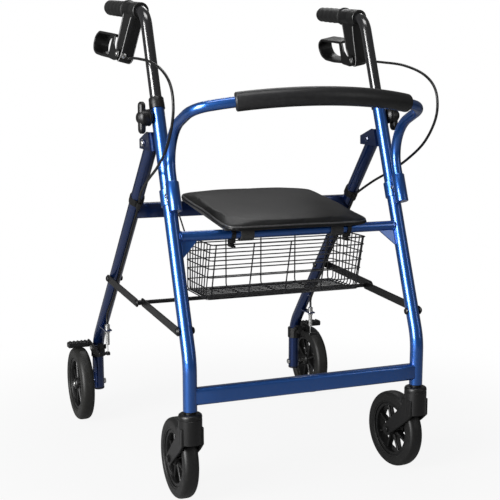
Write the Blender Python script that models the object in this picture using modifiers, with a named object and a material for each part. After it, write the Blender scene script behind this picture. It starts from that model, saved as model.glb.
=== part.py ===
"""A folding four-wheeled walker: two bent uprights on swivelling casters, a hinged rear
frame on braked wheels, a padded seat over a wire basket, a curved padded backrest and two
height-adjustable handles with loop brakes. Metres, +Z up, front towards -Y."""
import math

import bmesh
import bpy
from mathutils import Matrix, Vector

# Clearance between pieces that touch, and how finely round shapes are cut
GAP = 0.0003
ROUND = 12
FINE = 24
SMALL = 8

# Uprights: vertical from the foot to the bend, then leaning back
LEG_X = 0.230
TUBE_R = 0.0127
TUBE_WALL = 0.0012
FOOT_Z = 0.181
BEND_Z = 0.2708
BEND_RADIUS = 0.12
LEAN = math.radians(21)
LEG_TOP = 0.4683            # distance up the leaning part

# Cross members between the uprights
BAR_Z = 0.2072
BAR_HEIGHT = 0.031
BAR_DEPTH = 0.020
SEAT_TUBE = 0.2249          # distance up the leaning part
SEAT_TUBE_R = 0.0095
GUSSET_DEEP = 0.046
GUSSET_WIDE = 0.040
GUSSET_THICK = 0.003

# Backrest: a tube in sockets ahead of the uprights, with a foam sleeve
HOOP_R = 0.0095
HOOP_AHEAD = 0.0294         # tube axis ahead of the upright's axis
HOOP_BOTTOM = 0.268
HOOP_TOP = 0.406
HOOP_SIDE_BEND = 0.035
HOOP_CORNER = (0.2229, 0.1636)
HOOP_CORNER_BEND = 0.050
HOOP_BOW = 0.0584
FOAM_R = 0.0165
FOAM_BORE = 0.0006
FOAM_SPAN = (-0.157, 0.177)
SOCKET_R = 0.0122
SOCKET_TOP = 0.318
SOCKET_FLOOR = 0.0036
SOCKET_WEB = 0.009
CLAMP_WALL = 0.0028
CLAMP_LOW = 0.282
CLAMP_HIGH = 0.312

# Handles: tube, collar, clamp knob, grip
HANDLE_R = 0.0108
HANDLE_Z = 0.8836           # where the tube's two axes cross
HANDLE_BEND = 0.045
GRIP_RISE = math.radians(6)
GRIP_SPLAY = math.radians(2.4)
HANDLE_IN = 0.120           # length inside the upright
HANDLE_DROP = 0.100         # how far the handle can be lowered
GRIP_REACH = 0.2180
GRIP_LENGTH = 0.126
GRIP_R = 0.0148
GRIP_FLANGE_R = 0.0182
GRIP_FLANGE = 0.005
COLLAR_R = 0.0143
COLLAR_UP = 0.0183
COLLAR_SKIRT = 0.003
KNOB_AT = 0.4494
KNOB_HUB_R = 0.0155
KNOB_HUB = 0.0240
KNOB_WING = 0.058
KNOB_WING_WIDE = 0.018
KNOB_WING_THICK = 0.011
STUD_R = 0.003

# Brake housing and loop lever, in a frame that tilts outwards about the grip: back and up,
# with the grip's front end at GRIP_DRAWN
GRIP_START = GRIP_REACH - GRIP_LENGTH
GRIP_DRAWN = 0.092
BRAKE_TILT = math.radians(13)
HOUSING_HALF = 0.013
HOUSING_CLAMP = (GRIP_START - 0.070, GRIP_START - 0.0005)
HOUSING_CLAMP_R = 0.0160
HOUSING = ((0.030, 0.0), (0.088, 0.0), (0.0855, -0.030), (0.0850, -0.066), (0.076, -0.088),
           (0.066, -0.098), (0.054, -0.102), (0.045, -0.096), (0.040, -0.084), (0.0375, -0.045),
           (0.034, -0.016))
LEVER_PIVOT = (0.058, -0.087)
LEVER_PIN_R = 0.0025
LEVER_HEAD_R = 0.0055
LEVER_EAR = 0.0028
LEVER_EAR_PLATE = ((0.048, -0.092), (0.056, -0.0985), (0.070, -0.1005), (0.104, -0.0975),
                   (0.104, -0.052), (0.093, -0.052), (0.089, -0.070), (0.076, -0.080),
                   (0.060, -0.077), (0.050, -0.080))
LOOP = ((0.096, -0.0965), (0.150, -0.0985), (0.195, -0.0970), (0.214, -0.0900), (0.2258, -0.0744),
        (0.220, -0.0590), (0.202, -0.0500), (0.096, -0.0505))
LOOP_WALL = 0.0048
LOOP_ROOM = 0.1025          # the loop's front wall is open between its two cheeks

# Rear frame
PIVOT = (0.0453, 0.4162)    # behind the upright's axis, distance up the leaning part
REAR_X_TOP = 0.2337
REAR_X_LOW = 0.2468
REAR_Y = 0.598
REAR_SLOPE = math.radians(41)
REAR_BEND_RADIUS = 0.10
REAR_FOOT_Z = 0.066
REAR_ABOVE_PIVOT = 0.014
REAR_TUBE = 0.1827          # distance down the rear leg from the pivot
REAR_TUBE_HEIGHT = 0.030
REAR_TUBE_DEPTH = 0.022
BRACKET_WALL = 0.0025
BRACKET = ((0.0, 0.3903), (0.0755, 0.4164), (0.0699, 0.4327), (0.0219, 0.4302), (0.0, 0.4262))
PIVOT_BOLT_R = 0.0035

# Folding braces
BRACE_FRONT = 0.0549        # distance up the leaning part
BRACE_REAR = 0.3918         # distance down the rear leg
BRACE_HEIGHT = 0.0165
BRACE_THICK = 0.003
BRACE_BOLT_R = 0.003
BRACE_STANDOFF = 0.0005
FOLD_ROD_R = 0.004
BRACE_HINGE_R = 0.005

# Heads of bolts and rivets
HEAD_R = 0.0065
HEAD = 0.004

# Seat, in its own frame: its underside lies on both cross tubes
BOARD_HALF = 0.136
BOARD_THICK = 0.005
BOARD_AHEAD = 0.010
BOARD_BACK = 0.236
CUSHION_HALF = 0.149
CUSHION_AHEAD = 0.050
CUSHION_BACK = 0.242
CUSHION_EDGE = 0.012
CUSHION_CROWN = 0.013
CUSHION_CORNER = 0.030
CLIP_X = 0.0915
CLIP_WIDE = 0.025
CLIP_R = 0.0140

# Basket
BASKET_HALF = 0.158
BASKET_FRONT = 0.0776
BASKET_REAR = 0.2245
BASKET_FLOOR = 0.356
BASKET_TOP = 0.4620
BASKET_LEAN = 0.030         # how far the front wall's foot lies behind its rim
BASKET_COLUMNS = 4
BASKET_SIDE_COLUMNS = 5
BASKET_ROWS = 4
WIRE = 0.0028
HOOK_WIRE_R = 0.0016
HOOK_FLAT = 0.028
HANGER_X = 0.118
HANGER_WIDE = 0.008
HANGER_R = 0.0122

# Casters and wheels
FRONT_WHEEL_R = 0.075
REAR_WHEEL_R = 0.0825
WHEEL_HALF = 0.0145
RIM_SHARE = 0.71            # rim radius as a share of the wheel's
RIM_RING = 0.0075
RIM_HALF = 0.0105
HUB_R = 0.0125
HUB_HALF = 0.0140
SPOKES = 8
SPOKE_WIDE = 0.0050
SPOKE_DEEP = 0.014
AXLE_R = 0.004
TRAIL = 0.063
SWIVELS = {-1: 0.0, 1: math.radians(6)}
CAP_R = 0.0215
CAP_TOP = 0.1775
CAP_LOW = 0.123
ARM_THICK = 0.0045
WHEEL_ROOM = 0.004
STEM_R = 0.0055
STEM_TOP = 0.214
NECK_R = 0.0105
REAR_WHEEL_X = 0.2885

# Rear brakes and cables
CABLE_R = 0.0025
CABLE_FROM_HOUSING = ((0.0001, 0.0366, -0.0913), (0.0025, -0.0032, -0.0881), (0.0052, -0.0482, -0.0869))
CABLE_LOOP = ((0.2550, 0.1200, 0.7880), (0.2560, 0.0500, 0.7710), (0.2560, 0.0080, 0.7470),
              (0.2560, -0.0060, 0.7150), (0.2560, 0.0030, 0.6800), (0.2550, 0.0380, 0.6400),
              (0.2532, 0.0950, 0.6060), (0.2520, 0.1550, 0.5800), (0.2475, 0.2100, 0.5580),
              (0.2415, 0.2520, 0.5370))
CLIP_AT = 0.1494            # distance down the rear leg
CABLE_STANDOFF = 0.0175
ADJUSTER_Y = 0.505
ADJUSTER_Z = 0.2215
ADJUSTER_PLATE = 0.003
BRAKE_PIVOT = (0.570, 0.170)
BRAKE_PIN_R = 0.003
BRAKE_PLATE_X = 0.2645
BRAKE_PLATE = ((0.499, 0.166), (0.499, 0.174), (0.562, 0.180), (0.590, 0.184), (0.608, 0.184),
               (0.608, 0.169), (0.588, 0.169), (0.577, 0.160), (0.562, 0.160))
BRAKE_PLATE_THICK = 0.0035
BLADE_TIP_X = 0.316
BLADE = ((0.589, 0.1675), (0.607, 0.1815))
CABLE_TAB = (0.1665, 0.1735)
CABLE_END_TOP = 0.1885
BRAKE_CLAMP_R = 0.0160
BRAKE_CLAMP = (0.144, 0.168)

# Derived places
UPRIGHT = Matrix.Translation((0, 0, BEND_Z)) @ Matrix.Rotation(-LEAN, 4, "X")
TO_SIDE = Matrix(((0, 0, 1, 0), (1, 0, 0, 0), (0, 1, 0, 0), (0, 0, 0, 1)))
SIDES = ((-1, "left"), (1, "right"))


def upright(x, back, up):
    """A point given along and behind the leaning part of the uprights."""
    return UPRIGHT @ Vector((x, back, up))


PIVOT_POINT = upright(0, *PIVOT)
REAR_ALONG = Vector((0, math.sin(REAR_SLOPE), -math.cos(REAR_SLOPE)))
REAR_CORNER_AT = (REAR_Y - PIVOT_POINT.y) / REAR_ALONG.y
SEAT_POINT = upright(0, 0, SEAT_TUBE)
HOOP_FRONT = HOOP_CORNER[1] + HOOP_BOW
FRONT_REACH = FOAM_R - upright(0, -HOOP_FRONT, HOOP_TOP).y
CENTRE_Y = (REAR_Y + REAR_WHEEL_R - FRONT_REACH) / 2


def rear_leg(side, down, ahead=0.0):
    """A point on the straight part of a rear leg, or so far in front of it."""
    share = down / REAR_CORNER_AT
    x = REAR_X_TOP + (REAR_X_LOW - REAR_X_TOP) * share
    point = PIVOT_POINT + REAR_ALONG * down + Vector((0, REAR_ALONG.z, -REAR_ALONG.y)) * ahead
    point.x = side * x
    return point


BRACE_A = upright(0, 0, BRACE_FRONT)
BRACE_B = rear_leg(0, BRACE_REAR)
BRACE_C = (BRACE_A + BRACE_B) / 2
REAR_TUBE_POINT = rear_leg(0, REAR_TUBE)
GRIP_AT = upright(0, 0, (HANDLE_Z - BEND_Z) / math.cos(LEAN))


def seat_frame():
    """The seat's frame: on the front cross tube, turned so that it also meets the rear one."""
    corner = REAR_TUBE_POINT + Vector((0, -REAR_TUBE_DEPTH / 2, REAR_TUBE_HEIGHT / 2 + GAP))
    reach = corner - SEAT_POINT
    tilt = math.atan2(reach.z, reach.y) - math.asin((SEAT_TUBE_R + GAP) / reach.length)
    return Matrix.Translation(SEAT_POINT) @ Matrix.Rotation(tilt, 4, "X")


SEAT = seat_frame()
SEAT_UNDER = SEAT_TUBE_R + GAP


def handle_frame(side):
    """The handle's frame: origin where the tube's two axes cross, Y along the grip."""
    place = Matrix.Translation((side * LEG_X, GRIP_AT.y, HANDLE_Z))
    return place @ Matrix.Rotation(-side * GRIP_SPLAY, 4, "Z") @ Matrix.Rotation(GRIP_RISE, 4, "X")


def brake_frame(side):
    along = Matrix.Translation((0, GRIP_START - GRIP_DRAWN, 0))
    return handle_frame(side) @ along @ Matrix.Rotation(-side * BRAKE_TILT, 4, "Y")


def caster_frame(side):
    return Matrix.Translation((side * LEG_X, 0, 0)) @ Matrix.Rotation(SWIVELS[side], 4, "Z")


for old in list(bpy.data.objects):
    bpy.data.objects.remove(old, do_unlink=True)
PARTS = bpy.data.collections.new("wheeled_walker")
CUTTERS = bpy.data.collections.new("walker_cutters")
for group in (PARTS, CUTTERS):
    bpy.context.scene.collection.children.link(group)


def material(name, colour, roughness, metallic=0.0):
    mat = bpy.data.materials.new(name)
    mat.use_nodes = True
    shader = mat.node_tree.nodes["Principled BSDF"]
    shader.inputs["Base Color"].default_value = (*colour, 1)
    shader.inputs["Roughness"].default_value = roughness
    shader.inputs["Metallic"].default_value = metallic
    mat.diffuse_color = (*colour, 1)
    return mat


BLUE = material("blue_paint", (0.020, 0.045, 0.210), 0.28, 0.55)
DARK_BLUE = material("dark_blue_paint", (0.012, 0.022, 0.090), 0.35, 0.4)
BLACK_GLOSS = material("black_tube", (0.012, 0.012, 0.013), 0.15, 0.2)
BLACK = material("black_plastic", (0.018, 0.018, 0.019), 0.45)
BLACK_STEEL = material("black_steel", (0.014, 0.014, 0.015), 0.35, 0.3)
GRIP = material("grip_rubber", (0.020, 0.020, 0.022), 0.60)
FOAM = material("foam", (0.022, 0.022, 0.024), 0.75)
VINYL = material("vinyl", (0.018, 0.017, 0.018), 0.35)
BOARD = material("seat_board", (0.030, 0.030, 0.030), 0.7)
TYRE = material("tyre", (0.060, 0.060, 0.062), 0.7)
RIM = material("rim", (0.015, 0.015, 0.016), 0.4)
STEEL = material("zinc_steel", (0.620, 0.620, 0.610), 0.3, 1.0)

PLACES = {}
EMPTIES = {}


def body(name, place, parent=None):
    """An empty on a joint's axis that carries the pieces which move together."""
    empty = bpy.data.objects.new(name, None)
    PARTS.objects.link(empty)
    empty.empty_display_size = 0.03
    PLACES[name] = place
    EMPTIES[name] = empty
    if parent is None:
        empty.matrix_basis = Matrix.Translation((0, -CENTRE_Y, 0))
        return
    empty.parent = EMPTIES[parent]
    empty.matrix_basis = PLACES[parent].inverted() @ place


def move_to(obj, collection):
    for old_collection in list(obj.users_collection):
        old_collection.objects.unlink(obj)
    collection.objects.link(obj)


def ride(obj, name):
    obj.parent = EMPTIES[name]
    obj.matrix_parent_inverse = PLACES[name].inverted()


def shape(data, place=Matrix()):
    """A loose object for a mesh or curve, which a node then takes up or cuts with."""
    obj = bpy.data.objects.new("shape", data)
    CUTTERS.objects.link(obj)
    obj.matrix_basis = place
    obj.hide_render = True
    obj.display_type = "WIRE"
    ride(obj, "front_frame")
    return obj


def combine(obj, other, operation):
    cut = obj.modifiers.new(operation.lower(), "BOOLEAN")
    cut.operation = operation
    cut.solver = "EXACT"
    cut.object = other


def carve(base, add=(), cut=()):
    """Join shapes to a base, then cut others from it."""
    for other in add:
        combine(base, other, "UNION")
    for other in cut:
        combine(base, other, "DIFFERENCE")
    return base


def node(name, base, mat, carried_by, add=(), cut=(), smooth=35):
    """Make a shape into a named piece, with others joined to it or cut from it."""
    base.name = name
    base.data.name = name
    base.hide_render = False
    base.display_type = "TEXTURED"
    base.data.materials.clear()
    base.data.materials.append(mat)
    if base.type == "MESH":
        base.data.shade_smooth()
        base.data.set_sharp_from_angle(angle=math.radians(smooth))
    carve(base, add, cut)
    for other in (*add, *cut):
        other.data.materials.clear()
        other.data.materials.append(mat)
    move_to(base, PARTS)
    ride(base, carried_by)
    return base


def block(low, high, place=Matrix(), round_edges=0.0, segments=2):
    low, high = Vector(low), Vector(high)
    mesh = bpy.data.meshes.new("block")
    bm = bmesh.new()
    size = Matrix.Diagonal((*(high - low), 1))
    bmesh.ops.create_cube(bm, size=1, matrix=Matrix.Translation((low + high) / 2) @ size)
    bm.to_mesh(mesh)
    bm.free()
    obj = shape(mesh, place)
    if round_edges:
        bevel = obj.modifiers.new("edges", "BEVEL")
        bevel.width = round_edges
        bevel.segments = segments
    return obj


def rods(ends, radius, sides=ROUND, place=Matrix()):
    """Plain round bars from point to point, as separate bodies of one mesh."""
    mesh = bpy.data.meshes.new("rods")
    bm = bmesh.new()
    for start, end in ends:
        start, end = Vector(start), Vector(end)
        along = end - start
        turn = along.to_track_quat("Z", "X").to_matrix().to_4x4()
        bmesh.ops.create_cone(bm, cap_ends=True, segments=sides, radius1=radius, radius2=radius,
                              depth=along.length, matrix=Matrix.Translation((start + end) / 2) @ turn)
    bm.to_mesh(mesh)
    bm.free()
    return shape(mesh, place)


def bore(radius):
    """Radius of a faceted hole that clears a round bar of this radius."""
    return (radius + GAP) / math.cos(math.pi / ROUND)


def turned(profile, place, steps=ROUND, closed=False):
    """A turned solid: the profile of (radius, height) runs down its outer side."""
    mesh = bpy.data.meshes.new("turned")
    count = len(profile)
    edges = [(i, i + 1) for i in range(count - 1)]
    if closed:
        edges.append((count - 1, 0))
    mesh.from_pydata([(r, 0, z) for r, z in profile], edges, [])
    obj = shape(mesh, place)
    screw = obj.modifiers.new("turn", "SCREW")
    screw.steps = steps
    screw.render_steps = steps
    screw.use_merge_vertices = True
    screw.merge_threshold = 0.00001
    screw.use_smooth_shade = True
    return obj


def as_mesh(obj):
    """Turn a curve, or a shape with modifiers, into a plain welded mesh."""
    bpy.context.view_layer.update()
    evaluated = obj.evaluated_get(bpy.context.evaluated_depsgraph_get())
    mesh = bpy.data.meshes.new_from_object(evaluated)
    bm = bmesh.new()
    bm.from_mesh(mesh)
    bmesh.ops.remove_doubles(bm, verts=bm.verts, dist=0.000001)
    bm.to_mesh(mesh)
    bm.free()
    place = obj.matrix_basis.copy()
    bpy.data.objects.remove(obj, do_unlink=True)
    return shape(mesh, place)


def gather(objects):
    """Several shapes as the separate bodies of one."""
    mesh = bpy.data.meshes.new("gathered")
    bm = bmesh.new()
    for obj in objects:
        plain = as_mesh(obj)
        plain.data.transform(plain.matrix_basis)
        bm.from_mesh(plain.data)
        bpy.data.objects.remove(plain, do_unlink=True)
    bm.to_mesh(mesh)
    bm.free()
    return shape(mesh)


def tube(points, radius, sides=ROUND):
    """A round bar along a path, with flat ends."""
    curve = bpy.data.curves.new("tube", "CURVE")
    curve.dimensions = "3D"
    curve.bevel_depth = radius
    curve.bevel_resolution = (sides - 4) // 2
    curve.use_fill_caps = True
    spline = curve.splines.new("POLY")
    spline.points.add(len(points) - 1)
    for target, point in zip(spline.points, points):
        target.co = (*point, 1)
    return as_mesh(shape(curve))


def plate(outline, thickness, place, holes=(), round_edges=0.0):
    """A flat plate with its outline in the frame's XY plane and its thickness along Z."""
    curve = bpy.data.curves.new("plate", "CURVE")
    curve.dimensions = "2D"
    curve.fill_mode = "BOTH"
    curve.extrude = thickness / 2
    for ring in (outline, *holes):
        spline = curve.splines.new("POLY")
        spline.points.add(len(ring) - 1)
        spline.use_cyclic_u = True
        for target, point in zip(spline.points, ring):
            target.co = (*point, 0, 1)
    obj = as_mesh(shape(curve, place))
    if round_edges:
        bevel = obj.modifiers.new("edges", "BEVEL")
        bevel.width = round_edges
        bevel.segments = 1
    return obj


def side_plate(outline, x_low, x_high, frame=Matrix(), holes=(), round_edges=0.0):
    """A plate whose outline is given in (y, z) and whose thickness runs along X."""
    place = frame @ Matrix.Translation(((x_low + x_high) / 2, 0, 0)) @ TO_SIDE
    return plate(outline, x_high - x_low, place, holes, round_edges)


def circle(centre, radius, count=ROUND):
    return [(centre[0] + radius * math.cos(2 * math.pi * i / count),
             centre[1] + radius * math.sin(2 * math.pi * i / count)) for i in range(count)]


def slot_outline(start, end, radius, count=6):
    """A bar with round ends between two points of the plane."""
    along = math.atan2(end[1] - start[1], end[0] - start[0])
    ring = []
    for centre, turn in ((end, along - math.pi / 2), (start, along + math.pi / 2)):
        for i in range(count + 1):
            angle = turn + math.pi * i / count
            ring.append((centre[0] + radius * math.cos(angle), centre[1] + radius * math.sin(angle)))
    return ring


def inset(outline, by):
    """An outline moved inwards by the same distance on every side."""
    count = len(outline)
    ring = []
    for i, point in enumerate(outline):
        before = Vector(point) - Vector(outline[i - 1])
        after = Vector(outline[(i + 1) % count]) - Vector(point)
        normals = [Vector((-edge.y, edge.x)).normalized() for edge in (before, after)]
        middle = (normals[0] + normals[1]).normalized()
        ring.append(tuple(Vector(point) + middle * by / middle.dot(normals[0])))
    return ring


def bend(points, radii, steps=3):
    """A path of straight runs whose corners are arcs of the given radii, or None for a plain corner."""
    points = [Vector(point) for point in points]
    path = [points[0]]
    for before, corner, after, radius in zip(points, points[1:], points[2:], radii):
        if radius is None:
            path.append(corner)
            continue
        back = (before - corner).normalized()
        ahead = (after - corner).normalized()
        half = back.angle(ahead) / 2
        start = corner + back * radius / math.tan(half)
        end = corner + ahead * radius / math.tan(half)
        centre = corner + (back + ahead).normalized() * radius / math.sin(half)
        for i in range(steps + 1):
            chord = start.lerp(end, i / steps) - centre
            path.append(centre + chord.normalized() * radius)
    path.append(points[-1])
    return path


def smooth_path(points, spacing):
    """A Catmull-Rom curve through hand-picked points, read at an even spacing."""
    points = [Vector(point) for point in points]
    ends = [points[0] * 2 - points[1], *points, points[-1] * 2 - points[-2]]
    path = []
    for a, b, c, d in zip(ends, ends[1:], ends[2:], ends[3:]):
        count = max(1, round((c - b).length / spacing))
        for i in range(count):
            t = i / count
            path.append((b * 2 + (c - a) * t + (a * 2 - b * 5 + c * 4 - d) * t * t
                         + (b * 3 - a - c * 3 + d) * t ** 3) / 2)
    path.append(points[-1])
    return path


def along_x(x, y, z, side):
    """A frame at a point whose Z axis runs outwards along X."""
    turn = Matrix.Rotation(side * math.pi / 2, 4, "Y")
    return Matrix.Translation((side * x, y, z)) @ turn


def rivet_profile(outer, inner, radius):
    """A pin along its axis with a domed head beyond each end, for a turned shape."""
    return [(0, outer + HEAD), (HEAD_R * 0.7, outer + HEAD * 0.8), (HEAD_R, outer + HEAD * 0.3),
            (HEAD_R, outer - GAP), (radius, outer - GAP), (radius, inner + GAP), (HEAD_R, inner + GAP),
            (HEAD_R, inner - HEAD * 0.3), (HEAD_R * 0.7, inner - HEAD * 0.8), (0, inner - HEAD)]


def leg_path(side):
    x = side * LEG_X
    corners = [(x, 0, FOOT_Z), (x, 0, BEND_Z), upright(x, 0, LEG_TOP)]
    return bend(corners, [BEND_RADIUS])


def rear_leg_path(side):
    corners = [rear_leg(side, -REAR_ABOVE_PIVOT), rear_leg(side, REAR_CORNER_AT),
               (side * REAR_X_LOW, REAR_Y, REAR_FOOT_Z)]
    return bend(corners, [REAR_BEND_RADIUS])


def leg_room(side):
    """The space of an upright and its clearance, which cuts what meets it."""
    return tube(leg_path(side), TUBE_R + GAP)


def rear_leg_room(side):
    return tube(rear_leg_path(side), TUBE_R + GAP)


def x_room(point, low, high, radius):
    """A hole along X from one x to another."""
    return rods([((low, point.y, point.z), (high, point.y, point.z))], bore(radius))


def hoop_path(foam=False):
    """The backrest tube's axis: up from a socket, ahead, across in a bow, and down again."""
    half, corner = HOOP_CORNER
    radius = (half ** 2 + HOOP_BOW ** 2) / (2 * HOOP_BOW)
    steps = 5
    low, high = FOAM_SPAN if foam else (-half, half)
    bow = []
    for i in range(2 * steps + 1):
        x = low + (high - low) * i / (2 * steps)
        ahead = corner + HOOP_BOW - radius + math.sqrt(radius ** 2 - x ** 2)
        bow.append(upright(x, -ahead, HOOP_TOP))
    if foam:
        return bow
    left = [upright(-LEG_X, -HOOP_AHEAD, HOOP_BOTTOM), upright(-LEG_X, -HOOP_AHEAD, HOOP_TOP)]
    right = [upright(LEG_X, -HOOP_AHEAD, HOOP_TOP), upright(LEG_X, -HOOP_AHEAD, HOOP_BOTTOM)]
    radii = [HOOP_SIDE_BEND, HOOP_CORNER_BEND] + [None] * (2 * steps - 1)
    radii += [HOOP_CORNER_BEND, HOOP_SIDE_BEND]
    return bend(left + bow + right, radii)


def make_bodies():
    body("front_frame", Matrix())
    body("rear_frame", Matrix.Translation(PIVOT_POINT), "front_frame")
    body("front_links", Matrix.Translation(BRACE_A), "front_frame")
    body("rear_links", Matrix.Translation(BRACE_B), "rear_frame")
    body("seat", SEAT, "front_frame")
    body("basket_slide", Matrix.Translation((0, BASKET_FRONT, BASKET_TOP)), "front_frame")
    for side, word in SIDES:
        handle = handle_frame(side)
        knob = upright(side * LEG_X, 0, KNOB_AT)
        caster = caster_frame(side)
        body("handle_" + word, handle, "front_frame")
        lever = brake_frame(side) @ Matrix.Translation((0, *LEVER_PIVOT))
        body("lever_" + word, lever, "handle_" + word)
        body("brake_" + word, Matrix.Translation((side * REAR_X_LOW, *BRAKE_PIVOT)), "rear_frame")
        body("knob_" + word, Matrix.Translation(knob), "front_frame")
        body("caster_" + word, caster, "front_frame")
        body("front_wheel_" + word, caster @ Matrix.Translation((0, TRAIL, FRONT_WHEEL_R)), "caster_" + word)
        axle = Matrix.Translation((side * REAR_WHEEL_X, REAR_Y, REAR_WHEEL_R))
        body("rear_wheel_" + word, axle, "rear_frame")


def make_front_frame():
    for side, word in SIDES:
        x = side * LEG_X
        hollow = tube([upright(x, 0, LEG_TOP - HANDLE_IN - HANDLE_DROP - HANDLE_R),
                       upright(x, 0, LEG_TOP + TUBE_R)], TUBE_R - TUBE_WALL)
        socket = rods([((x, 0, FOOT_Z - TUBE_R), (x, 0, STEM_TOP + TUBE_WALL))], bore(STEM_R))
        knob = upright(x, 0, KNOB_AT)
        stud = x_room(knob, x, x + side * TUBE_R * 2, STUD_R)
        brace = x_room(BRACE_A, x - TUBE_R * 2, x + TUBE_R * 2, BRACE_BOLT_R)
        node("front_leg_" + word, tube(leg_path(side), TUBE_R), BLUE, "front_frame",
             cut=(hollow, socket, stud, brace))
    rooms = [leg_room(side) for side, word in SIDES]
    bar = block((-LEG_X, -BAR_DEPTH / 2, BAR_Z - BAR_HEIGHT / 2),
                (LEG_X, BAR_DEPTH / 2, BAR_Z + BAR_HEIGHT / 2), round_edges=0.006)
    node("front_crossbar", bar, BLUE, "front_frame", cut=rooms)
    ends = [upright(side * LEG_X, 0, SEAT_TUBE) for side, word in SIDES]
    node("seat_crosstube", tube(ends, SEAT_TUBE_R), BLUE, "front_frame", add=gussets(), cut=rooms)
    make_backrest(rooms)
    make_leg_fittings()


def gussets():
    """Triangular plates welded under the ends of the seat's cross tube."""
    plates = []
    for side, word in SIDES:
        outer = side * (LEG_X - TUBE_R / 2)
        inner = side * (LEG_X - TUBE_R - GUSSET_WIDE)
        flat = UPRIGHT @ Matrix.Rotation(math.pi / 2, 4, "X")
        outline = [(inner, SEAT_TUBE), (outer, SEAT_TUBE - GUSSET_DEEP), (outer, SEAT_TUBE)]
        plates.append(plate(outline, GUSSET_THICK, flat))
    return plates


def make_backrest(rooms):
    path = hoop_path()
    node("backrest_tube", tube(path, HOOP_R), BLUE, "front_frame")
    node("backrest_pad", tube(hoop_path(foam=True), FOAM_R), FOAM, "front_frame",
         cut=(tube(path, HOOP_R + FOAM_BORE),))
    hoop_room = tube(path, HOOP_R + GAP)
    for (side, word), room in zip(SIDES, rooms):
        x = side * LEG_X
        sleeve = rods([(upright(x, -HOOP_AHEAD, HOOP_BOTTOM - SOCKET_FLOOR),
                        upright(x, -HOOP_AHEAD, SOCKET_TOP))], SOCKET_R)
        web = block((x - SOCKET_WEB, -HOOP_AHEAD, CLAMP_LOW + 0.003), (x + SOCKET_WEB, 0, CLAMP_HIGH - 0.003),
                    UPRIGHT)
        clamp = rods([(upright(x, 0, CLAMP_LOW), upright(x, 0, CLAMP_HIGH))], TUBE_R + CLAMP_WALL)
        node("backrest_socket_" + word, sleeve, BLUE, "front_frame", add=(web, clamp),
             cut=(room, hoop_room))


def make_leg_fittings():
    """The plastic collar on each upright and the bracket that the rear leg turns in."""
    for side, word in SIDES:
        axis = Matrix.Translation(upright(side * LEG_X, 0, LEG_TOP)) @ Matrix.Rotation(-LEAN, 4, "X")
        inner = bore(HANDLE_R)
        skirt = TUBE_R + GAP * 2
        profile = [(inner, COLLAR_UP), (COLLAR_R * 0.92, COLLAR_UP), (COLLAR_R, COLLAR_UP * 0.7),
                   (skirt + 0.0016, -COLLAR_SKIRT), (skirt, -COLLAR_SKIRT), (skirt, GAP), (inner, GAP)]
        node("height_collar_" + word, turned(profile, axis, closed=True), BLACK, "front_frame")
        make_pivot_bracket(side, word)


def make_pivot_bracket(side, word):
    """A channel open to the rear with the rivet between its sides."""
    inner = TUBE_R + GAP * 2
    half = inner + BRACKET_WALL
    front = TUBE_R + GAP
    outline = [(max(back, front), up) for back, up in BRACKET]
    frame = UPRIGHT @ Matrix.Translation((side * REAR_X_TOP, 0, 0))
    channel = side_plate(outline, -half, half, frame)
    room = block((-inner, front + BRACKET_WALL, 0.3), (inner, 0.1, 0.5), frame)
    place = along_x(REAR_X_TOP, PIVOT_POINT.y, PIVOT_POINT.z, side)
    rivet = turned(rivet_profile(half, -half, PIVOT_BOLT_R), place, SMALL)
    channel = as_mesh(carve(channel, cut=(room,)))
    node("pivot_bracket_" + word, channel, DARK_BLUE, "front_frame", add=(rivet,))


def make_handles():
    for side, word in SIDES:
        carried = "handle_" + word
        frame = handle_frame(side)
        x = side * LEG_X
        path = bend([upright(x, 0, LEG_TOP - HANDLE_IN), frame.translation,
                     frame @ Vector((0, GRIP_REACH - GRIP_FLANGE, 0))], [HANDLE_BEND], 6)
        node("handle_tube_" + word, tube(path, HANDLE_R), BLACK_GLOSS, carried)
        start = GRIP_START
        hold = bore(HANDLE_R)
        profile = [(0, GRIP_REACH), (GRIP_R * 0.75, GRIP_REACH), (GRIP_R * 0.96, GRIP_REACH - 0.005),
                   (GRIP_R * 0.95, GRIP_REACH - 0.020), (GRIP_R * 1.04, GRIP_REACH - GRIP_LENGTH / 2),
                   (GRIP_R * 1.04, start + 0.012), (GRIP_FLANGE_R, start + GRIP_FLANGE),
                   (GRIP_FLANGE_R, start), (hold, start), (hold, GRIP_REACH - GRIP_FLANGE + GAP),
                   (0, GRIP_REACH - GRIP_FLANGE + GAP)]
        turn = frame @ Matrix.Rotation(-math.pi / 2, 4, "X")
        node("hand_grip_" + word, turned(profile, turn), GRIP, carried)
        tilted = brake_frame(side)
        clamp = rods([((0, HOUSING_CLAMP[0], 0), (0, HOUSING_CLAMP[1], 0))], HOUSING_CLAMP_R, place=frame)
        housing = side_plate(HOUSING, -HOUSING_HALF, HOUSING_HALF, tilted, round_edges=0.003)
        pin = rods([((-0.03, *LEVER_PIVOT), (0.03, *LEVER_PIVOT))], bore(LEVER_PIN_R), SMALL, tilted)
        node("brake_housing_" + word, clamp, BLACK, carried, add=(housing,),
             cut=(tube(path, HANDLE_R + GAP), pin))
        make_lever(side, word, tilted)


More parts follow.
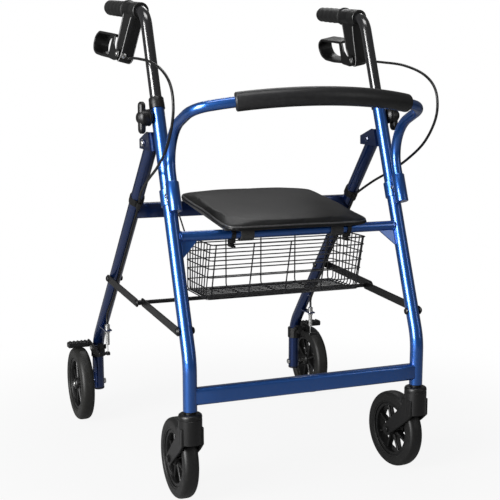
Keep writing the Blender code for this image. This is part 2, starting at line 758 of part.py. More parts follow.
def make_lever(side, word, frame):
    ear_in = HOUSING_HALF + GAP
    ear_out = ear_in + LEVER_EAR
    loop = side_plate(LOOP, -ear_out, ear_out, frame, holes=(inset(LOOP, LOOP_WALL),))
    open_front = block((-ear_in, 0, -0.2), (ear_in, LOOP_ROOM, 0), frame)
    loop = as_mesh(carve(loop, cut=(open_front,)))
    ears = [side_plate(LEVER_EAR_PLATE, *sorted((s * ear_in, s * ear_out)), frame) for s in (-1, 1)]
    pin = rods([((-ear_out - 0.001, *LEVER_PIVOT), (ear_out + 0.001, *LEVER_PIVOT))], LEVER_PIN_R,
               SMALL, frame)
    heads = [rods([((s * (ear_out - 0.001), *LEVER_PIVOT), (s * (ear_out + 0.0018), *LEVER_PIVOT))],
                  LEVER_HEAD_R, SMALL, frame) for s in (-1, 1)]
    node("brake_lever_" + word, loop, BLACK, "lever_" + word, add=(*ears, pin, *heads))


def make_knobs():
    for side, word in SIDES:
        centre = upright(0, 0, KNOB_AT)
        start = LEG_X + TUBE_R + GAP
        end = start + KNOB_HUB
        axis = along_x(0, centre.y, centre.z, side)
        tip = LEG_X + HANDLE_R + GAP
        profile = [(0, end + 0.004), (KNOB_HUB_R * 0.5, end + 0.004), (KNOB_HUB_R * 0.72, end),
                   (KNOB_HUB_R, end - 0.004), (KNOB_HUB_R, start + 0.004),
                   (KNOB_HUB_R * 0.7, start), (STUD_R, start), (STUD_R, tip), (0, tip)]
        half = KNOB_WING / 2 - KNOB_WING_WIDE / 2
        outline = slot_outline((0, -half), (0, half), KNOB_WING_WIDE / 2)
        frame = Matrix.Translation((0, centre.y, centre.z))
        limits = sorted((side * (end - KNOB_WING_THICK), side * end))
        wing = side_plate(outline, *limits, frame, round_edges=0.0015)
        node("clamp_knob_" + word, turned(profile, axis), BLACK, "knob_" + word, add=(wing,))


def make_rear_frame():
    for side, word in SIDES:
        x = side * REAR_X_LOW
        pivot = x_room(rear_leg(side, 0), side * (REAR_X_TOP - 0.03), side * (REAR_X_TOP + 0.03), PIVOT_BOLT_R)
        point = rear_leg(side, BRACE_REAR)
        brace = x_room(point, point.x - 0.03, point.x + 0.03, BRACE_BOLT_R)
        axle = x_room(Vector((0, REAR_Y, REAR_WHEEL_R)), x - 0.03, x + 0.03, AXLE_R)
        tongue = block((x - 0.008, ADJUSTER_Y - 0.009, ADJUSTER_Z),
                       (x + 0.008, REAR_Y - 0.035, ADJUSTER_Z + ADJUSTER_PLATE))
        hole = rods([((x, ADJUSTER_Y, ADJUSTER_Z - 0.01), (x, ADJUSTER_Y, ADJUSTER_Z + 0.01))], bore(0.0042))
        node("rear_leg_" + word, tube(rear_leg_path(side), TUBE_R), BLUE, "rear_frame", add=(tongue,),
             cut=(pivot, brace, axle, hole))
        make_rear_axle(side, word)
    rooms = [rear_leg_room(side) for side, word in SIDES]
    half = abs(rear_leg(1, REAR_TUBE).x)
    centre = REAR_TUBE_POINT
    bar = block((-half, centre.y - REAR_TUBE_DEPTH / 2, centre.z - REAR_TUBE_HEIGHT / 2),
                (half, centre.y + REAR_TUBE_DEPTH / 2, centre.z + REAR_TUBE_HEIGHT / 2), round_edges=0.004)
    node("rear_crosstube", bar, BLUE, "rear_frame", cut=rooms)
    make_brake_fittings(rooms)


def make_rear_axle(side, word):
    """Axle bolt with its nut inside the leg, a spacer, and its head outside the wheel."""
    nut = REAR_X_LOW - TUBE_R - GAP
    spacer = REAR_X_LOW + TUBE_R + GAP
    hub_in = REAR_WHEEL_X - HUB_HALF - GAP
    hub_out = REAR_WHEEL_X + HUB_HALF + GAP
    profile = [(0, hub_out + HEAD), (HEAD_R * 0.7, hub_out + HEAD), (HEAD_R, hub_out + HEAD / 2),
               (HEAD_R, hub_out), (AXLE_R, hub_out), (AXLE_R, hub_in), (HEAD_R, hub_in),
               (HEAD_R, spacer), (AXLE_R, spacer), (AXLE_R, nut), (HEAD_R, nut),
               (HEAD_R, nut - HEAD), (0, nut - HEAD)]
    axle = turned(profile, along_x(0, REAR_Y, REAR_WHEEL_R, side), SMALL)
    node("rear_axle_" + word, axle, STEEL, "rear_frame")


def make_brake_fittings(rooms):
    """Cable clip, cable adjuster and brake bracket on each rear leg."""
    for (side, word), room in zip(SIDES, rooms):
        x = side * REAR_X_LOW
        cable_room = tube(cable_path(side), CABLE_R + GAP * 2, 6)
        strap = rods([(rear_leg(side, CLIP_AT - 0.008), rear_leg(side, CLIP_AT + 0.008))], TUBE_R + 0.0022)
        eye = rods([(rear_leg(side, CLIP_AT - 0.008, CABLE_STANDOFF),
                     rear_leg(side, CLIP_AT + 0.008, CABLE_STANDOFF))], CABLE_R + 0.0022, SMALL)
        node("cable_clip_" + word, strap, BLACK, "rear_frame", add=(eye,), cut=(room, cable_room))
        top = ADJUSTER_Z + ADJUSTER_PLATE
        profile = [(0, top + 0.012), (0.0035, top + 0.012), (0.0055, top + 0.010), (0.0055, top + GAP),
                   (0.0042, top + GAP), (0.0042, ADJUSTER_Z - 0.032), (0.0030, ADJUSTER_Z - 0.032),
                   (0.0030, ADJUSTER_Z - 0.012), (0, ADJUSTER_Z - 0.012)]
        barrel = turned(profile, Matrix.Translation((x, ADJUSTER_Y, 0)), SMALL)
        node("cable_adjuster_" + word, barrel, STEEL, "rear_frame")
        clamp = rods([((x, REAR_Y - 0.0025, BRAKE_CLAMP[0]), (x, REAR_Y - 0.0025, BRAKE_CLAMP[1]))],
                     BRAKE_CLAMP_R)
        lug = block((x - 0.0045, BRAKE_PIVOT[0] - 0.008, BRAKE_PIVOT[1] - 0.011),
                    (x + 0.0045, REAR_Y - 0.005, BRAKE_PIVOT[1] + 0.008))
        pin = x_room(Vector((0, *BRAKE_PIVOT)), x - 0.02, x + 0.02, BRAKE_PIN_R)
        node("brake_bracket_" + word, clamp, BLACK, "rear_frame", add=(lug,), cut=(room, pin))
        make_brake_arm(side, word)


def make_brake_arm(side, word):
    """The arm on its pin: the cable lifts its front end and its blade bears on the tyre."""
    x = side * REAR_X_LOW
    outer = BRAKE_PLATE_X + BRAKE_PLATE_THICK
    arm = side_plate(BRAKE_PLATE, *sorted((side * BRAKE_PLATE_X, side * outer)))
    inner = REAR_X_LOW - 0.0045 - GAP
    pin = rods([((side * (inner - 0.001), *BRAKE_PIVOT), (side * (outer - 0.001), *BRAKE_PIVOT))],
               BRAKE_PIN_R, SMALL)
    head = rods([((side * (inner - 0.003), *BRAKE_PIVOT), (side * inner, *BRAKE_PIVOT))], 0.0055, SMALL)
    sleeve = rods([((side * (REAR_X_LOW + 0.0045 + GAP), *BRAKE_PIVOT),
                    (side * (BRAKE_PLATE_X + 0.001), *BRAKE_PIVOT))], 0.0055, SMALL)
    tab = block((x - 0.004, ADJUSTER_Y - 0.005, CABLE_TAB[0]),
                (x + 0.004, ADJUSTER_Y + 0.005, CABLE_TAB[1]))
    reach = block((min(x, side * (BRAKE_PLATE_X + 0.001)), ADJUSTER_Y - 0.004, CABLE_TAB[0] + 0.001),
                  (max(x, side * (BRAKE_PLATE_X + 0.001)), ADJUSTER_Y + 0.004, CABLE_TAB[1] - 0.001))
    limits = sorted((side * (outer - 0.001), side * BLADE_TIP_X))
    blade = block((limits[0], *BLADE[0]), (limits[1], *BLADE[1]), round_edges=0.003, segments=1)
    wire = rods([((x, ADJUSTER_Y, CABLE_TAB[1] - 0.0005), (x, ADJUSTER_Y, CABLE_END_TOP))], 0.0009, SMALL)
    node("brake_arm_" + word, arm, BLACK, "brake_" + word,
         add=(pin, head, sleeve, tab, reach, blade, wire))


def cable_path(side):
    """From the brake housing ahead and out in a wide loop, back to the rear leg and down it."""
    points = [brake_frame(side) @ Vector((side * x, y, z)) for x, y, z in CABLE_FROM_HOUSING]
    points += [Vector((side * x, y, z)) for x, y, z in CABLE_LOOP]
    points += [rear_leg(side, down, CABLE_STANDOFF) for down in (CLIP_AT - 0.006, CLIP_AT + 0.012,
                                                                CLIP_AT + 0.12, BRACE_REAR)]
    points.append(rear_leg(side, BRACE_REAR + 0.045, CABLE_STANDOFF + 0.001))
    x = side * REAR_X_LOW
    top = ADJUSTER_Z + ADJUSTER_PLATE + 0.012 + GAP
    points += [Vector((x, ADJUSTER_Y - 0.002, top + 0.022)), Vector((x, ADJUSTER_Y, top + 0.008)),
               Vector((x, ADJUSTER_Y, top))]
    return smooth_path(points, 0.032)


def make_cables():
    for side, word in SIDES:
        node("brake_cable_" + word, tube(cable_path(side), CABLE_R, 6), BLACK, "front_frame")


def make_braces():
    """Flat links riveted to the legs; the rear one turns beside the front one's end."""
    near = LEG_X + TUBE_R + BRACE_STANDOFF
    far = rear_leg(1, BRACE_REAR).x + TUBE_R + BRACE_STANDOFF
    a, b, c = ((p.y, p.z) for p in (BRACE_A, BRACE_B, BRACE_C))
    half = BRACE_HEIGHT / 2
    for side, word in SIDES:
        bar = side_plate(slot_outline(a, c, half), *sorted((side * near, side * (near + BRACE_THICK))))
        profile = rivet_profile(near + BRACE_THICK, LEG_X - TUBE_R - GAP * 2, BRACE_BOLT_R)
        rivet = turned(profile, along_x(0, *a, side), SMALL)
        node("front_link_" + word, bar, BLACK_STEEL, "front_links", add=(rivet,))
        bar = side_plate(slot_outline(c, b, half), *sorted((side * far, side * (far + BRACE_THICK))))
        profile = rivet_profile(far + BRACE_THICK, rear_leg(1, BRACE_REAR).x - TUBE_R - GAP * 2, BRACE_BOLT_R)
        rivet = turned(profile, along_x(0, *b, side), SMALL)
        spacer = rods([((side * (near + BRACE_THICK + GAP), *c), (side * (far + BRACE_THICK + 0.002), *c))],
                      BRACE_HINGE_R, SMALL)
        node("rear_link_" + word, bar, BLACK_STEEL, "rear_links", add=(rivet, spacer))
    reach = near - GAP
    node("fold_rod", rods([((-reach, *c), (reach, *c))], FOLD_ROD_R, SMALL), BLACK_STEEL, "front_links")


def make_seat():
    """The board with its two hinge clips round the front cross tube, and the cushion."""
    top = SEAT_UNDER + BOARD_THICK
    board = block((-BOARD_HALF, -BOARD_AHEAD, SEAT_UNDER), (BOARD_HALF, BOARD_BACK, top), SEAT)
    clips, rooms = [], []
    for side, word in SIDES:
        low, high = side * CLIP_X - CLIP_WIDE / 2, side * CLIP_X + CLIP_WIDE / 2
        clips.append(rods([((low, 0, 0), (high, 0, 0))], CLIP_R, place=SEAT))
        rooms.append(rods([((low - 0.002, 0, 0), (high + 0.002, 0, 0))], bore(SEAT_TUBE_R), place=SEAT))
        low, high = side * HANGER_X - HANGER_WIDE / 2 - 0.001, side * HANGER_X + HANGER_WIDE / 2 + 0.001
        rooms.append(rods([((low, 0, 0), (high, 0, 0))], bore(HANGER_R + GAP), place=SEAT))
    over = block((-BOARD_HALF, -0.05, top), (BOARD_HALF, 0.05, top + 0.05), SEAT)
    node("seat_board", board, BOARD, "seat", add=clips, cut=(*rooms, over))
    make_cushion(top + GAP)


def make_cushion(under):
    """A padded top: crowned, with round corners and sides drawn in between them."""
    mesh = bpy.data.meshes.new("cushion")
    bm = bmesh.new()
    bmesh.ops.create_cube(bm, size=2)
    bmesh.ops.subdivide_edges(bm, edges=bm.edges, cuts=6, use_grid_fill=True)
    half_y = (CUSHION_BACK + CUSHION_AHEAD) / 2
    mid_y = (CUSHION_BACK - CUSHION_AHEAD) / 2
    for vert in bm.verts:
        u, v, w = vert.co
        belly = 1 - 0.018 * (1 - abs(w)) - 0.012 * (1 - (u * v) ** 2)
        corner = CUSHION_CORNER / CUSHION_HALF * (u * v) ** 4
        x = u * CUSHION_HALF * belly * (1 - corner * 0.42)
        y = mid_y + v * half_y * belly * (1 - corner * 0.46)
        crown = CUSHION_CROWN * (1 - u ** 4) * (1 - v ** 4)
        height = (w + 1) / 2
        vert.co = (x, y, under + height * (CUSHION_EDGE + crown))
    bm.to_mesh(mesh)
    bm.free()
    cushion = shape(mesh, SEAT)
    node("seat_cushion", cushion, VINYL, "seat", smooth=60)


def make_basket():
    mesh = bpy.data.meshes.new("basket")
    bm = bmesh.new()
    low = Vector((-BASKET_HALF, BASKET_FRONT, BASKET_FLOOR))
    high = Vector((BASKET_HALF, BASKET_REAR, BASKET_TOP))
    size = Matrix.Diagonal((*(high - low), 1))
    bmesh.ops.create_cube(bm, size=1, matrix=Matrix.Translation((low + high) / 2) @ size)
    for axis, count in ((0, BASKET_COLUMNS), (1, BASKET_SIDE_COLUMNS), (2, BASKET_ROWS)):
        normal = Vector([1.0 if i == axis else 0.0 for i in range(3)])
        for i in range(1, count):
            point = low + normal * (high - low)[axis] * i / count
            whole = bm.verts[:] + bm.edges[:] + bm.faces[:]
            bmesh.ops.bisect_plane(bm, geom=whole, plane_co=point, plane_no=normal)
    lid = [face for face in bm.faces if face.calc_center_median().z > BASKET_TOP - 0.0001]
    bmesh.ops.delete(bm, geom=lid, context="FACES")
    for vert in bm.verts:
        foot = (BASKET_TOP - vert.co.z) / (BASKET_TOP - BASKET_FLOOR)
        ahead = (BASKET_REAR - vert.co.y) / (BASKET_REAR - BASKET_FRONT)
        vert.co.y += BASKET_LEAN * foot * ahead
    bm.to_mesh(mesh)
    bm.free()
    basket = shape(mesh)
    wires = basket.modifiers.new("wires", "WIREFRAME")
    wires.thickness = WIRE
    wires.use_boundary = True
    wires.use_replace = True
    wires.use_even_offset = True
    hooks = []
    rest = REAR_TUBE_POINT.z + REAR_TUBE_HEIGHT / 2 + GAP + HOOK_WIRE_R
    front = REAR_TUBE_POINT.y - REAR_TUBE_DEPTH / 2
    for side, word in SIDES:
        x = side * (BASKET_HALF - HOOK_WIRE_R * 0.3)
        low = BASKET_TOP - HOOK_WIRE_R * 0.35
        hooks.append(tube([(x, BASKET_REAR - 0.0105, low), (x, BASKET_REAR + 0.002, low),
                           (x, front - 0.008, rest), (x, front - 0.008 + HOOK_FLAT, rest)], HOOK_WIRE_R, SMALL))
    node("basket", as_mesh(basket), BLACK_STEEL, "basket_slide", add=hooks, smooth=60)
    make_hangers()


def make_hangers():
    """Clips on the seat's cross tube that carry the basket's front wire and let it leave ahead."""
    f = SEAT_POINT
    for side, word in SIDES:
        low, high = side * HANGER_X - HANGER_WIDE / 2, side * HANGER_X + HANGER_WIDE / 2
        ring = rods([((low, f.y, f.z), (high, f.y, f.z))], HANGER_R)
        floor = BASKET_TOP - WIRE / 2 - GAP * 2
        foot = block((low, BASKET_FRONT - 0.004, floor - 0.003), (high, f.y + HANGER_R, f.z))
        slot = block((low - 0.001, 0, floor), (high + 0.001, BASKET_FRONT + 0.004, BASKET_TOP + WIRE))
        hole = rods([((low - 0.01, f.y, f.z), (high + 0.01, f.y, f.z))], bore(SEAT_TUBE_R))
        node("basket_hanger_" + word, ring, BLACK, "front_frame", add=(foot,), cut=(slot, hole))


def wheel_nodes(prefix, word, radius, frame, carried):
    """A tyre on a spoked rim, turned about the frame's X axis."""
    axis = frame @ Matrix.Rotation(math.pi / 2, 4, "Y")
    rim_r = radius * RIM_SHARE
    w = WHEEL_HALF
    outside = [(rim_r, w * 0.84), (radius * 0.84, w), (radius * 0.955, w * 0.83), (radius, w * 0.34)]
    profile = outside + [(r, -z) for r, z in reversed(outside)]
    node(prefix + "_tyre_" + word, turned(profile, axis, FINE, closed=True), TYRE, carried, smooth=50)
    outer = rim_r * math.cos(math.pi / FINE) - GAP
    ring = [(outer - RIM_RING, RIM_HALF), (outer, RIM_HALF), (outer, -RIM_HALF), (outer - RIM_RING, -RIM_HALF)]
    hold = bore(AXLE_R)
    hub = [(hold, HUB_HALF), (HUB_R * 0.8, HUB_HALF), (HUB_R, HUB_HALF * 0.8), (HUB_R, -HUB_HALF * 0.8),
           (HUB_R * 0.8, -HUB_HALF), (hold, -HUB_HALF)]
    start = HUB_R - 0.002
    reach = outer - RIM_RING / 2
    spokes = []
    for i in range(SPOKES):
        turn = axis @ Matrix.Rotation(2 * math.pi * (i + 0.5) / SPOKES, 4, "Z")
        low, high = (start, -SPOKE_WIDE / 2, -SPOKE_DEEP / 2), (reach, SPOKE_WIDE / 2, SPOKE_DEEP / 2)
        spokes.append(block(low, high, turn))
    node(prefix + "_rim_" + word, turned(ring, axis, FINE, closed=True), RIM, carried,
         add=(gather(spokes), turned(hub, axis, closed=True)), smooth=40)


def make_caster(side, word):
    frame = caster_frame(side)
    carried = "caster_" + word
    profile = [(0, STEM_TOP), (STEM_R, STEM_TOP), (STEM_R, FOOT_Z - GAP), (NECK_R, FOOT_Z - GAP),
               (NECK_R, CAP_TOP), (CAP_R * 0.86, CAP_TOP), (CAP_R, CAP_TOP - 0.004), (CAP_R, CAP_LOW),
               (0, CAP_LOW)]
    inner = WHEEL_HALF + 0.0022
    hub = (TRAIL, FRONT_WHEEL_R)
    boss = circle(hub, 0.0125)
    lower = [boss[i] for i in (7, 8, 9, 10, 11, 0, 1)]
    top = CAP_LOW + 0.030
    outline = [(-CAP_R * 0.55, CAP_LOW - 0.003), (CAP_R * 0.2, CAP_LOW - 0.018), *lower,
               (CAP_R * 0.60, top), (-CAP_R * 0.60, top)]
    arms = [side_plate(outline, *sorted((s * (inner - 0.001), s * (inner + ARM_THICK))), frame) for s in (-1, 1)]
    room = rods([((-inner, *hub), (inner, *hub))], FRONT_WHEEL_R + WHEEL_ROOM, FINE, frame)
    hole = rods([((-0.04, *hub), (0.04, *hub))], bore(AXLE_R), place=frame)
    node("caster_fork_" + word, turned(profile, frame), BLACK, carried, add=arms, cut=(room, hole))
    out = inner + ARM_THICK + GAP
    profile = [(0, out + HEAD), (HEAD_R * 0.8, out + HEAD), (HEAD_R, out + HEAD * 0.6), (HEAD_R, out),
               (AXLE_R, out), (AXLE_R, -out), (HEAD_R, -out), (HEAD_R, -out - HEAD * 0.7),
               (0, -out - HEAD * 0.7)]
    axis = frame @ Matrix.Translation((0, *hub)) @ Matrix.Rotation(side * math.pi / 2, 4, "Y")
    node("front_axle_" + word, turned(profile, axis, SMALL), STEEL, carried)


def make_wheels():
    for side, word in SIDES:
        make_caster(side, word)
        front = caster_frame(side) @ Matrix.Translation((0, TRAIL, FRONT_WHEEL_R))
        wheel_nodes("front", word, FRONT_WHEEL_R, front, "front_wheel_" + word)
        rear = Matrix.Translation((side * REAR_WHEEL_X, REAR_Y, REAR_WHEEL_R))
        wheel_nodes("rear", word, REAR_WHEEL_R, rear, "rear_wheel_" + word)


make_bodies()
make_front_frame()
make_handles()
make_knobs()
make_rear_frame()
make_cables()
make_braces()
make_seat()
make_basket()
make_wheels()
print("joint axes from the centre of the base:")
for name, place in PLACES.items():
    at = place.translation - Vector((0, CENTRE_Y, 0)) if name != "front_frame" else place.translation
    print("  %-20s %8.4f %8.4f %8.4f" % (name, *at))
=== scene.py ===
# %% [markdown]
# This file dresses a folding wheeled walker: two bent uprights on swivelling
# casters, a rear frame that folds towards them, a padded seat over a wire
# basket, a foam-covered backrest bar, and two height-adjustable handles with
# loop brakes. The jointed model comes first, as a fixed frame in metres, with
# +Y towards the person who pushes and the floor at height zero. Each new
# piece is placed from the same few sizes as the model it covers.

# %% The frame
import math

import bmesh
import bpy
import numpy as np
from mathutils import Matrix
from mathutils.bvhtree import BVHTree


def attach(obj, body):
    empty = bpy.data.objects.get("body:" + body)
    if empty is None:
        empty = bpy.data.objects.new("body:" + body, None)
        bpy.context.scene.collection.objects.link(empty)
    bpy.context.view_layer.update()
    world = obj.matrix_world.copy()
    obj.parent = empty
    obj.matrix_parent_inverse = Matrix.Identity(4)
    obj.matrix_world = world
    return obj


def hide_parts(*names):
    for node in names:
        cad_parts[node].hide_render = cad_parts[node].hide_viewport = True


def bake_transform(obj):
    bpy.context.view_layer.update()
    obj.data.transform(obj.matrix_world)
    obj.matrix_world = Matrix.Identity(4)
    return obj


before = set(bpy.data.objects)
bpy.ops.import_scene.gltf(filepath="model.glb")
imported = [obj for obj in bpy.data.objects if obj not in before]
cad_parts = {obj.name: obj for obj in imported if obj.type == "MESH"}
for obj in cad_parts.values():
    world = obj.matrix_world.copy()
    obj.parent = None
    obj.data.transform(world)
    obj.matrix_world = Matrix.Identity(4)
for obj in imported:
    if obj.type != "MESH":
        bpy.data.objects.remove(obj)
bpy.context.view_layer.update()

# %% [markdown]
# The camera stands low and to the left in front of the walker. Its place and
# its lens were worked out from the corners of the frame, so that the picture
# shows every part at the photograph's angle. A small vertical shift keeps the
# handles' uprights from tipping over.

# %% The camera
camera = bpy.data.objects.new("camera", bpy.data.cameras.new("camera"))
bpy.context.scene.collection.objects.link(camera)
camera.data.lens = 74.556
camera.data.sensor_width = 36
camera.data.shift_y = 0.0567
camera.data.clip_end = 60
camera.location = (-0.8006, -1.9688, 0.7304)
camera.rotation_euler = (math.radians(79.9731), 0, math.radians(-22.3262))
bpy.context.scene.camera = camera

# %% [markdown]
# Every tube starts as a line. The uprights stand straight and then lean back
# by 21 degrees, so most pieces on them are easiest to place along and behind
# that leaning line. Frames are 4 by 4 matrices: they carry a shape that is
# drawn near the origin to where it sits on the walker.

# %% Sizes of the frame
CENTRE_Y = 0.3011212773     # the uprights' feet lie this far ahead of the centre
LEG_X = 0.230
TUBE_R = 0.0127
FOOT_Z, BEND_Z, BEND_RADIUS = 0.181, 0.2708, 0.12
LEAN = math.radians(21)
LEG_TOP = 0.4683
SIDES = ((-1, "left"), (1, "right"))
GRIP_TOE, GRIP_PITCH, BRAKE_TIP = math.radians(2.4), math.radians(6), math.radians(13)
CASTER_TURN = math.radians(6)
FRONT_WHEEL_R, REAR_WHEEL_R = 0.075, 0.0825
TRAIL, REAR_WHEEL_X = 0.063, 0.2885


def shift(x, y, z):
    matrix = np.eye(4)
    matrix[:3, 3] = (x, y, z)
    return matrix


def turn(axis, angle):
    return np.array(Matrix.Rotation(angle, 4, axis))


def put(points, matrix):
    """Points carried by a frame: rotated by its 3 by 3 part, then moved."""
    points = np.asarray(points, float)
    return points @ matrix[:3, :3].T + matrix[:3, 3]


UPRIGHT = shift(0, -CENTRE_Y, BEND_Z) @ turn("X", -LEAN)


def upright(x, back, up):
    """A point given sideways, behind and along the leaning part of the uprights."""
    return put((x, back, up), UPRIGHT)


PIVOT = upright(0, 0.0453, 0.4162)
REAR_SLOPE = math.radians(41)
REAR_ALONG = np.array((0, math.sin(REAR_SLOPE), -math.cos(REAR_SLOPE)))
REAR_X_TOP, REAR_X_LOW = 0.2337, 0.2468
REAR_Y = 0.598 - CENTRE_Y
REAR_CORNER = (REAR_Y - PIVOT[1]) / REAR_ALONG[1]


def rear_leg(side, down, ahead=0.0):
    """A point on the sloping part of a rear leg, or so far in front of it."""
    point = PIVOT + REAR_ALONG * down + np.array((0, REAR_ALONG[2], -REAR_ALONG[1])) * ahead
    point[0] = side * (REAR_X_TOP + (REAR_X_LOW - REAR_X_TOP) * down / REAR_CORNER)
    return point


HANDLE_Z = 0.8836
GRIP_AT = upright(0, 0, (HANDLE_Z - BEND_Z) / math.cos(LEAN))


def handle_frame(side):
    """Origin where the handle tube's two lines cross, Y along the grip."""
    place = shift(side * LEG_X, GRIP_AT[1], HANDLE_Z)
    return place @ turn("Z", -side * GRIP_TOE) @ turn("X", GRIP_PITCH)


def brake_frame(side):
    """The handle's frame, tipped outwards about the grip."""
    return handle_frame(side) @ turn("Y", -side * BRAKE_TIP)


def caster_frame(side):
    """The right caster rests turned a little, as in the photograph."""
    return shift(side * LEG_X, -CENTRE_Y, 0) @ turn("Z", CASTER_TURN if side > 0 else 0)


def sideways(x, y, z, side):
    """A frame at a point whose Z axis runs outwards along X."""
    return shift(side * x, y, z) @ turn("Y", side * math.pi / 2)


FLIP = turn("X", math.pi)
print("pivot of the frames:", PIVOT.round(4), "grip lines cross at", GRIP_AT.round(4))

# %% [markdown]
# A surface is a grid of points: row by row along it, column by column round
# it. The same four-point faces close every such grid, so each shape below
# only has to say where its points are. Doubled points at seams and poles are
# merged, and the faces are then turned outwards.

# %% From grids to pieces
def unit(vectors):
    return vectors / np.linalg.norm(vectors, axis=-1, keepdims=True)


def grid(points, wrap_rows=False, wrap_columns=True):
    """A surface from rows and columns of points: each face joins a point to the next
    in its row and the next row's same two, and a wrapped grid joins last to first."""
    rows, columns = points.shape[:2]
    i = np.arange(rows if wrap_rows else rows - 1)[:, None]
    j = np.arange(columns if wrap_columns else columns - 1)[None, :]
    after, beside = (i + 1) % rows, (j + 1) % columns
    faces = np.stack([i * columns + j, i * columns + beside, after * columns + beside,
                      after * columns + j], axis=-1)
    return points.reshape(-1, 3), faces.reshape(-1, 4).tolist()


def together(*surfaces):
    """Several surfaces as one: the later ones' face numbers are moved up."""
    points, faces, base = [], [], 0
    for part_points, part_faces in surfaces:
        points.append(part_points)
        faces += [[base + i for i in face] for face in part_faces]
        base += len(part_points)
    return np.concatenate(points), faces


def moved(surface, matrix):
    return put(surface[0], matrix), surface[1]


def piece(name, surface, material, body, replaces=(), smooth=40):
    """Make a surface into a piece of the walker. It rides on one of its bodies, or on
    none if no body is given."""
    mesh = bpy.data.meshes.new(name)
    mesh.from_pydata(surface[0].tolist(), [], surface[1])
    bm = bmesh.new()
    bm.from_mesh(mesh)
    bmesh.ops.remove_doubles(bm, verts=bm.verts, dist=0.000002)
    bmesh.ops.recalc_face_normals(bm, faces=bm.faces)
    bm.to_mesh(mesh)
    bm.free()
    mesh.shade_smooth()
    mesh.set_sharp_from_angle(angle=math.radians(smooth))
    mesh.materials.append(material)
    obj = bpy.data.objects.new(name, mesh)
    bpy.context.scene.collection.objects.link(obj)
    if body:
        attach(obj, body)
    if replaces:
        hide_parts(*replaces)
    return obj


def refinish(material, *names):
    """Give a finish to nodes of the jointed model that stay in sight."""
    for name in names:
        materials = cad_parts[name].data.materials
        materials.clear()
        materials.append(material)


# %% [markdown]
# Three ways of drawing cover almost the whole walker. A section carried along
# a path gives tubes and bars. A profile turned about an axis gives wheels,
# collars, bolts and grips. An outline with a thickness gives plates, whose
# edges are broken by a narrow chamfer, as on any sheared or moulded plate.

# %% Paths, turned shapes and plates
def fillet(points, radii, closed=False, steps=8):
    """Corners replaced by arcs: the arc touches both runs, and its centre lies on the
    corner's bisector at radius over the sine of half the angle."""
    points = np.asarray(points, float)
    count = len(points)
    inner = range(count) if closed else range(1, count - 1)
    radii = np.broadcast_to(radii, len(inner))
    path = [] if closed else [points[:1]]
    for radius, i in zip(radii, inner):
        before, corner, after = points[i - 1], points[i], points[(i + 1) % count]
        back, ahead = unit(before - corner), unit(after - corner)
        half = math.acos(np.clip(back @ ahead, -1, 1)) / 2
        if radius <= 0 or half > 1.568:
            path.append(corner[None])
            continue
        reach = min(radius / math.tan(half), 0.49 * np.linalg.norm(before - corner),
                    0.49 * np.linalg.norm(after - corner)) if closed else radius / math.tan(half)
        radius = reach * math.tan(half)
        centre = corner + unit(back + ahead) * radius / math.sin(half)
        share = np.linspace(0, 1, steps + 1)[:, None]
        chord = corner + back * reach * (1 - share) + ahead * reach * share - centre
        path.append(centre + unit(chord) * radius)
    if not closed:
        path.append(points[-1:])
    return np.concatenate(path)


def curve_through(points, spacing):
    """A Catmull-Rom curve: each stretch between two points is a cubic whose slope at a
    point is half the way from the point before to the point after."""
    points = np.asarray(points, float)
    ends = np.vstack([points[0] * 2 - points[1], points, points[-1] * 2 - points[-2]])
    path = []
    for a, b, c, d in zip(ends, ends[1:], ends[2:], ends[3:]):
        count = max(1, round(float(np.linalg.norm(c - b)) / spacing))
        t = (np.arange(count) / count)[:, None]
        path.append((b * 2 + (c - a) * t + (a * 2 - b * 5 + c * 4 - d) * t ** 2
                     + (b * 3 - a - c * 3 + d) * t ** 3) / 2)
    return np.concatenate([*path, points[-1:]])


def ring(radius, sides):
    angle = np.linspace(0, 2 * math.pi, sides, endpoint=False)
    return radius * np.stack([np.cos(angle), np.sin(angle)], axis=1)


def rectangle(wide, high, radius, steps=5):
    x, y = wide / 2, high / 2
    return fillet([(-x, -y), (x, -y), (x, y), (-x, y)], radius, closed=True, steps=steps)


def carry(path, section, across=(1, 0, 0), edge=0.0006):
    """A section carried along a path: each ring stands square to the path, its first axis
    being the given direction less its part along the path. The ends close to a point
    after a ring that is smaller by the width of the broken edge."""
    path = np.asarray(path, float)
    along = unit(np.gradient(path, axis=0))
    first, last = path[0], path[-1]
    stations = np.vstack([first, first, first + along[0] * edge, path[1:-1],
                          last - along[-1] * edge, last, last])
    along = np.vstack([along[0], along[0], along, along[-1], along[-1]])
    size = np.ones(len(stations))
    size[[0, -1]] = 0
    size[[1, -2]] = 1 - edge / np.abs(section).max()
    across = np.asarray(across, float)
    normal = unit(across - (along @ across)[:, None] * along)
    other = np.cross(along, normal)
    spread = section[None, :, :1] * normal[:, None] + section[None, :, 1:] * other[:, None]
    return grid(stations[:, None] + size[:, None, None] * spread)


def turned(profile, matrix=np.eye(4), steps=48, closed=False):
    """A profile of (radius, height) turned about the frame's Z axis: each point runs on a
    circle of its own radius at its own height."""
    profile = np.asarray(profile, float)
    angle = np.linspace(0, 2 * math.pi, steps, endpoint=False)
    points = np.stack([profile[:, :1] * np.cos(angle), profile[:, :1] * np.sin(angle),
                       np.broadcast_to(profile[:, 1:], (len(profile), steps))], axis=-1)
    return grid(put(points, matrix), wrap_rows=closed)


def shaft(radius, start, end, matrix, steps=24):
    """A plain round bar between two heights on the frame's Z axis."""
    return turned([(0, start), (radius, start), (radius, end), (0, end)], matrix, steps)


